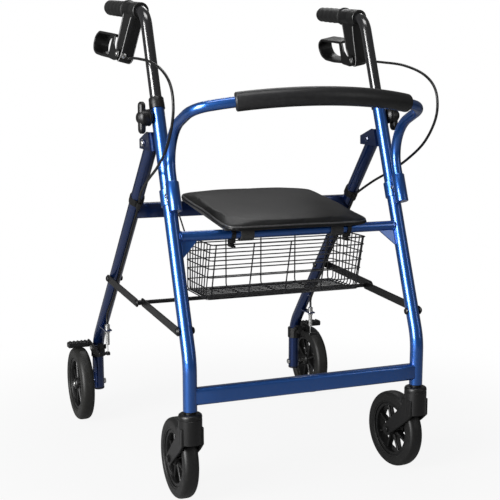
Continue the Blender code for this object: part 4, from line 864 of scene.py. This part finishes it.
for side, word in SIDES:
    points = cable_points(side)
    line = curve_through(points, 0.007)
    meet = int(np.argmin(np.linalg.norm(line - points[6], axis=1)))
    first, second = (carry(stretch, ring(CABLE_R, 14), edge=0.0003)
                     for stretch in (line[:meet + 1], line[meet:]))
    upper = piece("cable_upper_" + word, first, PLASTIC, None)
    lower = piece("cable_lower_" + word, second, PLASTIC, None, ["brake_cable_" + word])
    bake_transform(upper)
    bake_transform(lower)
    length = np.linalg.norm(np.diff(line, axis=0), axis=1).sum()
    print("brake cable", word, "is", round(float(length), 3), "m long")

# %% [markdown]
# At the brake, the cable ends in a threaded adjuster above a small tongue.
# Its inner wire pulls up the front end of a pivoted arm, whose broad blade
# then presses on the tyre. The blade has shallow ribs on top, and a thin wire
# spring beside the leg draws the arm back.

# %% Brake arms and adjusters
BRAKE_PIVOT = (0.570 - CENTRE_Y, 0.170)
PLATE_X, PLATE_THICK, BLADE_TIP_X = 0.2645, 0.0035, 0.316
BLADE_AHEAD, BLADE_BEHIND, BLADE_LOW, BLADE_HIGH = 0.589 - CENTRE_Y, 0.607 - CENTRE_Y, 0.1675, 0.1800
TAB_Z, WIRE_TOP, WIRE_FOOT, NUT_Z = 0.170, 0.1885, 0.173, 0.2172
BRAKE_PLATE = np.array([(0.499, 0.166), (0.499, 0.174), (0.562, 0.180), (0.590, 0.1825),
                        (0.608, 0.1825), (0.608, 0.1675), (0.588, 0.1675), (0.577, 0.160),
                        (0.562, 0.160)]) - (CENTRE_Y, 0)
for side, word in SIDES:
    x = side * REAR_X_LOW
    arm = plate(BRAKE_PLATE, side * PLATE_X, side * (PLATE_X + PLATE_THICK), edge=0.0006, corner=0.003)
    tab = box((x - 0.004, ADJUSTER_Y - 0.005, TAB_Z - 0.0035),
              (x + 0.004, ADJUSTER_Y + 0.005, TAB_Z + 0.0035), edge=0.0008)
    near = sorted((x, side * (PLATE_X + 0.001)))
    reach = box((near[0], ADJUSTER_Y - 0.004, TAB_Z - 0.0025),
                (near[1], ADJUSTER_Y + 0.004, TAB_Z + 0.0025), edge=0.0006)
    blade = plate([(BLADE_AHEAD, BLADE_LOW), (BLADE_BEHIND, BLADE_LOW), (BLADE_BEHIND, BLADE_HIGH),
                   (BLADE_AHEAD, BLADE_HIGH)], side * (PLATE_X + 0.0025), side * BLADE_TIP_X,
                  edge=0.0020, corner=0.003)
    ribs = [box((side * at - 0.0022, BLADE_AHEAD + 0.002, BLADE_HIGH - 0.0005),
                (side * at + 0.0022, BLADE_BEHIND - 0.002, BLADE_HIGH + 0.0014), edge=0.0008)
            for at in np.linspace(PLATE_X + 0.010, BLADE_TIP_X - 0.007, 5)]
    pin = turned([(0, 0.2352), (0.0055, 0.2352), (0.0055, 0.2385), (0.003, 0.2385), (0.003, 0.2520),
                  (0.0055, 0.2520), (0.0055, 0.2650), (0, 0.2650)],
                 sideways(0, *BRAKE_PIVOT, side), 24)
    shoe = together(arm, tab, reach, blade, *ribs, pin)
    piece("brake_shoe_arm_" + word, shoe, PLASTIC, "brake_" + word, ["brake_arm_" + word])
    bolt = hexagon(0.0052, 0.0030, sideways(PLATE_X + PLATE_THICK, *BRAKE_PIVOT, side))
    wire = shaft(0.0009, WIRE_FOOT, WIRE_TOP, shift(x, ADJUSTER_Y, 0), 12)
    piece("brake_bolt_and_wire_" + word, together(bolt, wire), STEEL, "brake_" + word)
    profile = [(0.0014, 0.2365), (0.0030, 0.2365), (0.0036, 0.2358), (0.0055, 0.2345), (0.0055, 0.2300),
               (0.0050, 0.2297), (0.0050, 0.2290), (0.0055, 0.2287), (0.0055, 0.2248), (0.0042, 0.2248),
               (0.0042, 0.1900), (0.0036, 0.1895), (0.0014, 0.1895)]
    barrel = turned(profile, shift(x, ADJUSTER_Y, 0), 28, closed=True)
    nut = hexagon(0.0062, 0.0040, shift(x, ADJUSTER_Y, NUT_Z))
    piece("adjuster_barrel_" + word, together(barrel, nut), STEEL, "rear_frame",
          ["cable_adjuster_" + word])
    ahead = REAR_Y - TUBE_R - 0.0016
    spring = curve_through([(x - side * 0.006, ahead, 0.1760),
                            (x + side * 0.004, ahead - 0.0008, 0.1715),
                            (x + side * 0.0145, ahead + 0.001, 0.1640)], 0.003)
    piece("return_spring_" + word, carry(spring, ring(0.0013, 10), edge=0.0003), STEEL, "rear_frame")
    refinish(PLASTIC, "cable_clip_" + word, "brake_bracket_" + word)

# %% [markdown]
# Two flat links on each side and a rod between them hold the frames apart.
# Lifting the rod folds the walker. Each link is a bar with round ends, and
# its rivets have low domed heads.

# %% Folding links and rod
BRACE_A, BRACE_B = upright(0, 0, 0.0549), rear_leg(0, BRACE_REAR)
BRACE_C = (BRACE_A + BRACE_B) / 2
OUTER_FACE = TUBE_R + 0.0005
NEAR, FAR = LEG_X + OUTER_FACE, rear_leg(1, BRACE_REAR)[0] + OUTER_FACE
LINK_HALF, LINK_THICK, RIVET_R = 0.00825, 0.003, 0.0065
PIN_R, PIN_LONG, PIN_BACK = 0.003, 0.028, 0.027
for side, word in SIDES:
    ahead = plate(bar_outline(BRACE_A[1:], BRACE_C[1:], LINK_HALF), side * NEAR,
                  side * (NEAR + LINK_THICK), edge=0.0006)
    behind = plate(bar_outline(BRACE_C[1:], BRACE_B[1:], LINK_HALF), side * FAR,
                   side * (FAR + LINK_THICK), edge=0.0006)
    pin = shaft(PIN_R, 0, PIN_LONG, sideways(NEAR - PIN_BACK, *BRACE_A[1:], side), 16)
    heads = [dome(RIVET_R, 0.0038, sideways(NEAR + LINK_THICK, *BRACE_A[1:], side)),
             dome(RIVET_R, 0.0036, sideways(LEG_X - TUBE_R - CLEAR, *BRACE_A[1:], side) @ FLIP)]
    piece("link_ahead_" + word, together(ahead, pin, *heads), BLACK_STEEL, "front_links",
          ["front_link_" + word])
    inner_face = rear_leg(1, BRACE_REAR)[0] - TUBE_R - CLEAR
    pin = shaft(PIN_R, 0, PIN_LONG, sideways(FAR - PIN_BACK, *BRACE_B[1:], side), 16)
    spacer = shaft(0.005, 0, FAR - NEAR - 0.0025, sideways(NEAR + 0.0033, *BRACE_C[1:], side))
    heads = [dome(RIVET_R, 0.0038, sideways(FAR + LINK_THICK, *BRACE_B[1:], side)),
             dome(0.0060, 0.0030, sideways(FAR + LINK_THICK, *BRACE_C[1:], side)),
             dome(RIVET_R, 0.0036, sideways(inner_face, *BRACE_B[1:], side) @ FLIP)]
    piece("link_behind_" + word, together(behind, pin, spacer, *heads), BLACK_STEEL, "rear_links",
          ["rear_link_" + word])
rod_end = NEAR - CLEAR
rod = carry(np.linspace((-rod_end, *BRACE_C[1:]), (rod_end, *BRACE_C[1:]), 5), ring(0.004, 24),
            across=(0, 0, 1))
piece("folding_rod", rod, BLACK_STEEL, "front_links", ["fold_rod"])

# %% [markdown]
# The seat is a foam pad in black vinyl on a board. It starts as a shallow
# closed form with round corners and a low crown. A short cloth simulation
# with air pressure inside then swells it, which rounds the edges and pulls
# the sides in as a stitched cover does. How far a point may move is capped,
# and the underside stays flat on its board.

# %% The seat's form
BOARD_THICK = 0.005
under_board = SEAT_TUBE_R + CLEAR
seat_at = upright(0, 0, SEAT_TUBE)
over_tube = (0, -REAR_TUBE_HALF_DEEP, REAR_TUBE_HALF_HIGH + CLEAR)
to_rear = rear_leg(0, REAR_TUBE) + over_tube - seat_at
SEAT_TILT = math.atan2(to_rear[2], to_rear[1]) - math.asin(under_board / np.linalg.norm(to_rear))
SEAT = shift(*seat_at) @ turn("X", SEAT_TILT)
UNDER = under_board + BOARD_THICK + CLEAR
SEAT_HALF, SEAT_AHEAD, SEAT_BACK, SEAT_ROUND = 0.149, 0.050, 0.242, 0.026
SEAT_MID, SEAT_DEEP = (SEAT_BACK - SEAT_AHEAD) / 2, (SEAT_BACK + SEAT_AHEAD) / 2
EDGE_HIGH, CROWN, OUTLINE_POINTS = 0.012, 0.013, 176
SIDES_DRAWN_IN = 0.012      # by this share of the half width or depth


def seat_outline(smaller):
    """A rounded rectangle with points at even steps, drawn in a little between its corners
    in proportion to one less the square of the product of both shares."""
    outline = rectangle(2 * (SEAT_HALF - smaller), 2 * (SEAT_DEEP - smaller), SEAT_ROUND, steps=10)
    step = np.linalg.norm(np.roll(outline, -1, axis=0) - outline, axis=1)
    travelled = np.concatenate([[0], np.cumsum(step)])
    at = np.linspace(0, travelled[-1], OUTLINE_POINTS, endpoint=False)
    closed = np.vstack([outline, outline[:1]])
    outline = np.column_stack([np.interp(at, travelled, closed[:, k]) for k in (0, 1)])
    u, v = outline[:, 0] / SEAT_HALF, outline[:, 1] / SEAT_DEEP
    drawn = 1 - SIDES_DRAWN_IN * (1 - (u * v) ** 2)
    return outline * drawn[:, None] + (0, SEAT_MID)


def seat_surface(smaller, edge_high=EDGE_HIGH, crown=CROWN):
    """Rings of the outline shrunk towards the middle: flat below, up the side, and over
    the top, where the height is a crown that falls off with the fourth power."""
    outline = seat_outline(smaller)
    centre = np.array((0, SEAT_MID))
    inner = np.linspace(0, 1, 26) ** 0.8
    rows = []
    level = np.ones(len(outline))
    for share in inner[:-1]:
        rows.append(np.column_stack([centre + (outline - centre) * share * 0.985, UNDER * level]))
    for share, lift in ((0.992, 0.08), (1.0, 0.33), (1.0, 0.67), (0.992, 0.93)):
        up = UNDER + lift * edge_high
        rows.append(np.column_stack([centre + (outline - centre) * share, up * level]))
    for share in inner[::-1][1:]:
        flat = centre + (outline - centre) * share * 0.985
        u, v = flat[:, 0] / SEAT_HALF, (flat[:, 1] - SEAT_MID) / SEAT_DEEP
        rows.append(np.column_stack([flat, UNDER + edge_high + crown * (1 - u ** 4) * (1 - v ** 4)]))
    return grid(np.stack(rows))


# %% [markdown]
# The simulation runs on a copy whose points are evenly spaced, because air
# pressure stretches long thin faces unevenly. The result is read back as
# plain points and the cap is applied to them, so nothing of the cloth stays
# on the piece.

# %% Seat cushion
EVEN_SPACING, AIR_PRESSURE, CLOTH_FRAMES, SWELL_CAP = 0.0045, 1.2, 20, 0.005


def swollen(surface, cap):
    """Points after a few frames of cloth with pressure, moved no further than the cap,
    and half as far sideways, where the board and the seam hold the cover."""
    mesh = bpy.data.meshes.new("seat_start")
    mesh.from_pydata(surface[0].tolist(), [], surface[1])
    pad = bpy.data.objects.new("seat_start", mesh)
    bpy.context.scene.collection.objects.link(pad)
    voxels = pad.modifiers.new("even", "REMESH")
    voxels.mode = "VOXEL"
    voxels.voxel_size = EVEN_SPACING
    bpy.context.view_layer.update()
    evaluated = pad.evaluated_get(bpy.context.evaluated_depsgraph_get())
    even = bpy.data.meshes.new_from_object(evaluated)
    pad.modifiers.clear()
    pad.data = even
    count = len(even.vertices)
    before = np.empty(count * 3)
    even.vertices.foreach_get("co", before)
    before = before.reshape(-1, 3)
    cloth = pad.modifiers.new("cloth", "CLOTH")
    cloth.settings.use_pressure = True
    cloth.settings.uniform_pressure_force = AIR_PRESSURE
    cloth.settings.effector_weights.gravity = 0
    cloth.settings.quality = 5
    cloth.point_cache.frame_start, cloth.point_cache.frame_end = 1, CLOTH_FRAMES
    for number in range(1, CLOTH_FRAMES + 1):
        bpy.context.scene.frame_set(number)
    evaluated = pad.evaluated_get(bpy.context.evaluated_depsgraph_get())
    after = np.empty(count * 3)
    evaluated.data.vertices.foreach_get("co", after)
    moved_by = after.reshape(-1, 3) - before
    far = np.linalg.norm(moved_by, axis=1, keepdims=True)
    moved_by *= np.minimum(1, cap / np.maximum(far, 1e-9)) * (0.5, 0.5, 1.0)
    faces = [list(face.vertices) for face in even.polygons]
    bpy.data.objects.remove(pad)
    bpy.context.scene.frame_set(1)
    print("cushion swelled by up to", round(float(far.max()) * 1000, 1), "mm, capped at", cap * 1000)
    return before + moved_by, faces


def keep_seat_in(points):
    """The underside stays flat on the board, and the sides stay inside the cover's size."""
    points[:, 2] = np.maximum(points[:, 2], UNDER)
    points[:, 0] = np.clip(points[:, 0], -SEAT_HALF, SEAT_HALF)
    points[:, 1] = np.clip(points[:, 1], -SEAT_AHEAD, SEAT_BACK)
    return points


points, faces = swollen(seat_surface(0.003, edge_high=0.0085, crown=0.0085), SWELL_CAP)
cushion_surface = keep_seat_in(points), faces
cushion = piece("padded_seat", moved(cushion_surface, SEAT), VINYL, "seat", ["seat_cushion"], smooth=180)
softer = cushion.modifiers.new("softer", "SUBSURF")
softer.levels = softer.render_levels = 1

# %% [markdown]
# A narrow welt runs round the upper edge of the cover's side. Its line is the
# seat's outline, laid onto the finished cushion at the nearest points and
# smoothed, so that it sits half sunk in the cover all the way round.

# %% Welt and board
WELT_R, WELT_UP, WELT_IN = 0.0016, 0.0108, 0.0014
seam = seat_outline(WELT_IN)
seam_points = np.column_stack([seam, np.full(len(seam), UNDER + WELT_UP)])
cover = BVHTree.FromPolygons(np.asarray(cushion_surface[0]).tolist(), cushion_surface[1])
seam_points = np.array([cover.find_nearest(point)[0] for point in seam_points.tolist()])
for number in range(8):
    beside = np.roll(seam_points, 1, axis=0) + np.roll(seam_points, -1, axis=0)
    seam_points = (beside + 2 * seam_points) / 4
# The welt's lighter grey stands partly for worn vinyl and partly for a painted highlight along the
# piping.
piece("seat_welt", moved(closed_wire(seam_points, WELT_R, 10), SEAT), WELT, "seat")
refinish(BOARD, "seat_board")

# %% [markdown]
# The basket is welded from steel wire and dipped in black plastic. Rings run
# round it at several heights, five wires run down the front, under the floor
# and up the back, nine closer ones cross them from side to side, and two
# hooks at the back lie on the rear tube. Each wire is a short path, so all of them
# together stay light.

# %% Basket
HALF, FRONT, REAR = 0.158, 0.0776 - CENTRE_Y, 0.2245 - CENTRE_Y
FLOOR, TOP, SLOPE = 0.356, 0.4620, 0.030
RING_HEIGHTS = (0.4470, 0.4320, 0.4160, 0.3990, 0.3775, 0.3565)
THICK_WIRE, THIN_WIRE, HOOK_WIRE, WIRE_BEND = 0.0014, 0.0012, 0.0016, 0.008


def lean_in(x, y, z):
    """The front wall's foot lies behind its rim: the shift grows downwards and ahead."""
    foot, ahead = (TOP - z) / (TOP - FLOOR), (REAR - y) / (REAR - FRONT)
    return np.stack(np.broadcast_arrays(x, y + SLOPE * foot * ahead, z), axis=-1).astype(float)


def basket_ring(z, radius):
    corners = rectangle(2 * HALF, REAR - FRONT, WIRE_BEND, steps=3) + (0, (REAR + FRONT) / 2)
    return closed_wire(lean_in(corners[:, 0], corners[:, 1], z), radius)


def u_wire(corners, radius, across):
    """A wire down one wall, under the floor and up the other wall."""
    line = np.vstack([lean_in(*corner) for corner in corners])
    return carry(fillet(line, WIRE_BEND, steps=4), ring(radius, 8), across=across, edge=0.0003)


def down_and_up(x, radius):
    corners = [(x, FRONT, TOP), (x, FRONT, FLOOR), (x, REAR, FLOOR), (x, REAR, TOP)]
    return u_wire(corners, radius, (1, 0, 0))


def side_to_side(y, radius):
    corners = [(-HALF, y, TOP), (-HALF, y, FLOOR), (HALF, y, FLOOR), (HALF, y, TOP)]
    return u_wire(corners, radius, (0, 1, 0))


wires = [basket_ring(TOP, THICK_WIRE)]
wires += [basket_ring(z, THIN_WIRE) for z in RING_HEIGHTS]
wires += [down_and_up(x, THICK_WIRE) for x in np.linspace(-0.150, 0.150, 5)]
wires += [side_to_side(y, THIN_WIRE) for y in np.linspace(FRONT + 0.010, REAR - 0.010, 9)]
rear_top = rear_leg(0, REAR_TUBE)
rest = rear_top[2] + REAR_TUBE_HALF_HIGH + CLEAR + HOOK_WIRE
ahead = rear_top[1] - REAR_TUBE_HALF_DEEP - 0.008
for side, word in SIDES:
    x = side * (HALF - 0.0005)
    hook = fillet([(x, REAR - 0.020, TOP - 0.0003), (x, REAR + 0.002, TOP - 0.0003), (x, ahead, rest),
                   (x, ahead + 0.028, rest)], [0.006, 0.006], steps=4)
    wires.append(carry(hook, ring(HOOK_WIRE, 10), across=(1, 0, 0), edge=0.0003))
piece("wire_basket", together(*wires), WIRE_COAT, "basket", ["basket"])
refinish(PLASTIC, "basket_hanger_left", "basket_hanger_right")

# %% [markdown]
# A wheel is a solid tyre with rounded shoulders on a moulded rim, whose eight
# spokes run to its hub. Tyre, rim and hub are turned shapes. A spoke is a bar
# whose width and depth change along it, wide at the hub and narrow further out.

# %% Wheels
WHEEL_HALF, SPOKES, HUB_R, HUB_HALF, AXLE_R = 0.0145, 8, 0.0125, 0.0140, 0.004
RIM_SHARE = 0.71            # the rim's radius as a share of the tyre's


def tyre(radius, matrix):
    """A closed profile: a bead at the rim, a flat side with one low step, a round tread."""
    rim, w = radius * RIM_SHARE, WHEEL_HALF
    shoulder = np.linspace(0.12, 0.5, 7) * math.pi
    outside = [(rim, w * 0.82), (rim + 0.0010, w * 0.86), (rim + 0.0030, w * 0.88),
               (rim + 0.0036, w * 0.95), (radius * 0.86, w * 0.995), (radius * 0.90, w * 0.985)]
    tread = np.column_stack([radius * 0.90 + radius * 0.0997 * np.cos(shoulder[::-1]),
                             w * (0.30 + 0.685 * np.sin(shoulder[::-1]))])
    outside = np.vstack([outside, tread[1:], [(radius, w * 0.30)]])
    profile = np.vstack([outside, outside[::-1] * (1, -1)])
    return turned(profile, matrix, 96, closed=True)


def spokes(inner, outer, matrix):
    """Each spoke's half width and depth are sums of a constant and a bell at the hub."""
    share = np.linspace(0, 1, 12)
    wide = 0.0024 + 0.0022 * (1 - share) ** 3 + 0.0010 * share ** 4
    deep = 0.0058 + 0.0022 * (1 - share) ** 2
    section = rectangle(2, 2, 0.55, steps=3) * 0.5
    at = inner + (outer - inner) * share
    out = np.broadcast_to(at[:, None], (len(at), len(section)))
    one = np.stack([out, 2 * wide[:, None] * section[None, :, 0],
                    2 * deep[:, None] * section[None, :, 1]], axis=-1)
    turns = [turn("Z", 2 * math.pi * (i + 0.5) / SPOKES) for i in range(SPOKES)]
    return together(*[grid(put(one, matrix @ each)) for each in turns])


def rim(radius, matrix):
    outer = radius * RIM_SHARE - 0.0003
    band = [(0.0070, 0.0088), (0.0062, 0.0105), (0.0008, 0.0109), (0, 0.0104), (0, -0.0104),
            (0.0008, -0.0109), (0.0062, -0.0105), (0.0070, -0.0088), (0.0074, -0.0030), (0.0074, 0.0030)]
    band = [(outer - below, up) for below, up in band]
    bore = AXLE_R + CLEAR
    hub = [(bore, HUB_HALF), (HUB_R * 0.80, HUB_HALF), (HUB_R * 0.92, HUB_HALF * 0.93),
           (HUB_R, HUB_HALF * 0.75), (HUB_R * 1.06, 0.004), (HUB_R * 1.06, -0.004),
           (HUB_R, -HUB_HALF * 0.75), (HUB_R * 0.92, -HUB_HALF * 0.93), (HUB_R * 0.80, -HUB_HALF),
           (bore, -HUB_HALF)]
    return together(turned(band, matrix, 96, closed=True), turned(hub, matrix, 40, closed=True),
                    spokes(HUB_R - 0.001, outer - 0.0064, matrix))


for side, word in SIDES:
    front = caster_frame(side) @ shift(0, TRAIL, FRONT_WHEEL_R) @ turn("Y", math.pi / 2)
    rear = shift(side * REAR_WHEEL_X, REAR_Y, REAR_WHEEL_R) @ turn("Y", math.pi / 2)
    for where, radius, matrix, rubber in (("front", FRONT_WHEEL_R, front, FRONT_TYRE),
                                          ("rear", REAR_WHEEL_R, rear, TYRE)):
        body = where + "_wheel_" + word
        piece(where + "_tread_" + word, tyre(radius, matrix), rubber, body, [where + "_tyre_" + word])
        piece(where + "_spoked_rim_" + word, rim(radius, matrix), RIM, body, [where + "_rim_" + word])

# %% [markdown]
# Each front wheel trails behind a swivelling fork. Its cap is a turned shape
# whose underside is lifted to follow the wheel, so that the tyre turns free
# of it. The arms are broad plates that run down and back to the axle.

# %% Casters and axles
CAP_R, CAP_TOP, CAP_LOW, STEM_TOP, STEM_R = 0.0215, 0.1775, 0.123, 0.214, 0.0055
BOSS_R, ARM_THICK, TYRE_ROOM = 0.0125, 0.0045, 0.004


def cap_surface():
    """Turned, and then its low points are raised to a circle just outside the tyre."""
    profile = [(0, STEM_TOP), (STEM_R, STEM_TOP), (STEM_R, 0.1807), (0.0105, 0.1807), (0.0105, CAP_TOP),
               (0.0150, CAP_TOP), (0.0188, CAP_TOP - 0.0006), (0.0208, CAP_TOP - 0.0022),
               (CAP_R, CAP_TOP - 0.0048), (CAP_R, 0.1700), (CAP_R - 0.0007, 0.1694),
               (CAP_R - 0.0007, 0.1676), (CAP_R, 0.1670)]
    profile += [(CAP_R, z) for z in np.linspace(0.160, CAP_LOW, 6)]
    profile += [(r, CAP_LOW) for r in np.linspace(CAP_R - 0.001, 0, 9)]
    points, faces = turned(profile, steps=56)
    clear_r = FRONT_WHEEL_R + TYRE_ROOM
    room = FRONT_WHEEL_R + np.sqrt(np.maximum(clear_r ** 2 - (points[:, 1] - TRAIL) ** 2, 0))
    low = points[:, 2] < 0.165
    points[:, 2] = np.where(low, np.maximum(points[:, 2], np.minimum(room, 0.152)), points[:, 2])
    return points, faces


for side, word in SIDES:
    place = caster_frame(side)
    hub, inner = np.array((TRAIL, FRONT_WHEEL_R)), WHEEL_HALF + 0.0022
    angle = np.radians(np.linspace(205, 395, 14))
    boss = hub + BOSS_R * np.stack([np.cos(angle), np.sin(angle)], axis=1)
    outline = np.vstack([[(-CAP_R * 0.62, CAP_LOW - 0.002), (CAP_R * 0.1, CAP_LOW - 0.016)], boss,
                         [(CAP_R * 0.80, CAP_LOW + 0.012), (CAP_R * 0.60, CAP_LOW + 0.030),
                          (-CAP_R * 0.60, CAP_LOW + 0.030)]])
    arms = [plate(outline, s * (inner - 0.0010), s * (inner + ARM_THICK), place, edge=0.0012)
            for s in (-1, 1)]
    shell = together(moved(cap_surface(), place), *arms)
    piece("caster_shell_" + word, shell, PLASTIC, "caster_" + word, ["caster_fork_" + word])
    out = inner + ARM_THICK + CLEAR
    axis = place @ shift(0, *hub) @ turn("Y", side * math.pi / 2)
    outside = axis @ shift(0, 0, out)
    bolt = together(shaft(AXLE_R, out, -out, axis), hexagon(0.0065, 0.0036, outside),
                    shaft(0.0078, 0.0006, 0, outside, 32),
                    hexagon(0.0062, 0.0028, axis @ shift(0, 0, -out) @ FLIP))
    piece("caster_bolt_" + word, bolt, BLACK_STEEL, "caster_" + word, ["front_axle_" + word])
    nut, spacer = REAR_X_LOW - TUBE_R - CLEAR, REAR_X_LOW + TUBE_R + CLEAR
    hub_in, hub_out = REAR_WHEEL_X - HUB_HALF - CLEAR, REAR_WHEEL_X + HUB_HALF + CLEAR
    profile = [(0, hub_out), (AXLE_R, hub_out), (AXLE_R, hub_in), (0.0065, hub_in), (0.0065, spacer),
               (AXLE_R, spacer), (AXLE_R, nut), (0, nut)]
    axis = sideways(0, REAR_Y, REAR_WHEEL_R, side)
    bolt = together(turned(profile, axis, 28), dome(0.0065, 0.0038, axis @ shift(0, 0, hub_out)),
                    hexagon(0.0065, 0.0036, axis @ shift(0, 0, nut) @ FLIP))
    piece("rear_axle_bolt_" + word, bolt, STEEL, "rear_frame", ["rear_axle_" + word])

# %% [markdown]
# The studio is a pale floor that runs on under a pale sky. A tall broad lamp
# stands on the left and a narrow, much weaker one on the right, because tall
# lamps leave the stripes that show a tube is round and glossy. A soft one
# hangs above, and a long one behind picks out the edges. Floor and sky look
# white to the camera by their own colour, and not by more light, so the dark
# pieces stay dark.

# %% Floor, sky and lamps
FLOOR_HALF, FLOOR_Z, FLOOR_GREY, SKY_LIGHT = 14, -0.0005, 0.28, 0.14
FADE_FROM, FADE_TO = 0.35, 1.1      # from here outwards the floor turns as white as the sky


def stage_material():
    material = bpy.data.materials.new("studio_floor")
    material.use_nodes = True
    tree = material.node_tree
    shader = fill(tree.nodes["Principled BSDF"], Roughness=0.9, Specular_IOR_Level=0.1,
                  Base_Color=(FLOOR_GREY, FLOOR_GREY, FLOOR_GREY, 1))
    glow, seen = node(tree, "Emission", Color=(1, 1, 1, 1)), node(tree, "LightPath")
    mix, share, where = node(tree, "MixShader"), node(tree, "Math"), node(tree, "TexCoord")
    far, fade = node(tree, "VectorMath"), node(tree, "MapRange")
    share.operation, far.operation, fade.interpolation_type = "MULTIPLY", "LENGTH", "SMOOTHSTEP"
    fill(fade, From_Min=FADE_FROM, From_Max=FADE_TO, To_Min=0.90, To_Max=1.0)
    link(tree, (where, "Object", far, 0), (far, "Value", fade, "Value"),
         (seen, "Is Camera Ray", share, 0), (fade, "Result", share, 1), (share, 0, mix, 0),
         (shader, 0, mix, 1), (glow, 0, mix, 2), (mix, 0, tree.nodes["Material Output"], "Surface"))
    return material


floor_mesh = bpy.data.meshes.new("floor")
floor_mesh.from_pydata([(x * FLOOR_HALF, y * FLOOR_HALF, FLOOR_Z)
                        for x, y in ((-1, -1), (1, -1), (1, 1), (-1, 1))], [], [(0, 1, 2, 3)])
floor_mesh.materials.append(stage_material())
floor = bpy.data.objects.new("floor", floor_mesh)
bpy.context.scene.collection.objects.link(floor)

world = bpy.data.worlds.new("sky")
bpy.context.scene.world = world
world.use_nodes = True
sky = world.node_tree
plain = fill(sky.nodes["Background"], Color=(1, 1, 1, 1), Strength=SKY_LIGHT)
white = node(sky, "Background", Color=(1, 1, 1, 1), Strength=1.0)
seen, mix = node(sky, "LightPath"), node(sky, "MixShader")
link(sky, (seen, "Is Camera Ray", mix, 0), (plain, 0, mix, 1), (white, 0, mix, 2),
     (mix, 0, sky.nodes["World Output"], "Surface"))


def lamp(name, place, target, wide, high, power):
    """A flat lamp at a place in metres, turned towards the target; its power is in watts."""
    light = bpy.data.lights.new(name, "AREA")
    light.shape = "RECTANGLE"
    light.size, light.size_y, light.energy = wide, high, power
    obj = bpy.data.objects.new(name, light)
    bpy.context.scene.collection.objects.link(obj)
    obj.location = place
    away = Matrix.Translation(place).translation - Matrix.Translation(target).translation
    obj.rotation_euler = away.to_track_quat("Z", "Y").to_euler()


lamp("key", (-2.9, -1.3, 1.4), (-0.2, 0, 0.45), 1.6, 2.4, 250)
lamp("fill", (1.9, -2.6, 1.5), (0, 0, 0.45), 0.50, 1.9, 8)
lamp("over", (-0.3, -0.6, 3.2), (0, 0, 0.45), 1.6, 0.9, 26)
lamp("edge", (0.9, 2.4, 3.0), (0, 0, 0.5), 1.8, 0.4, 18)
bpy.context.scene.view_settings.view_transform = "Standard"
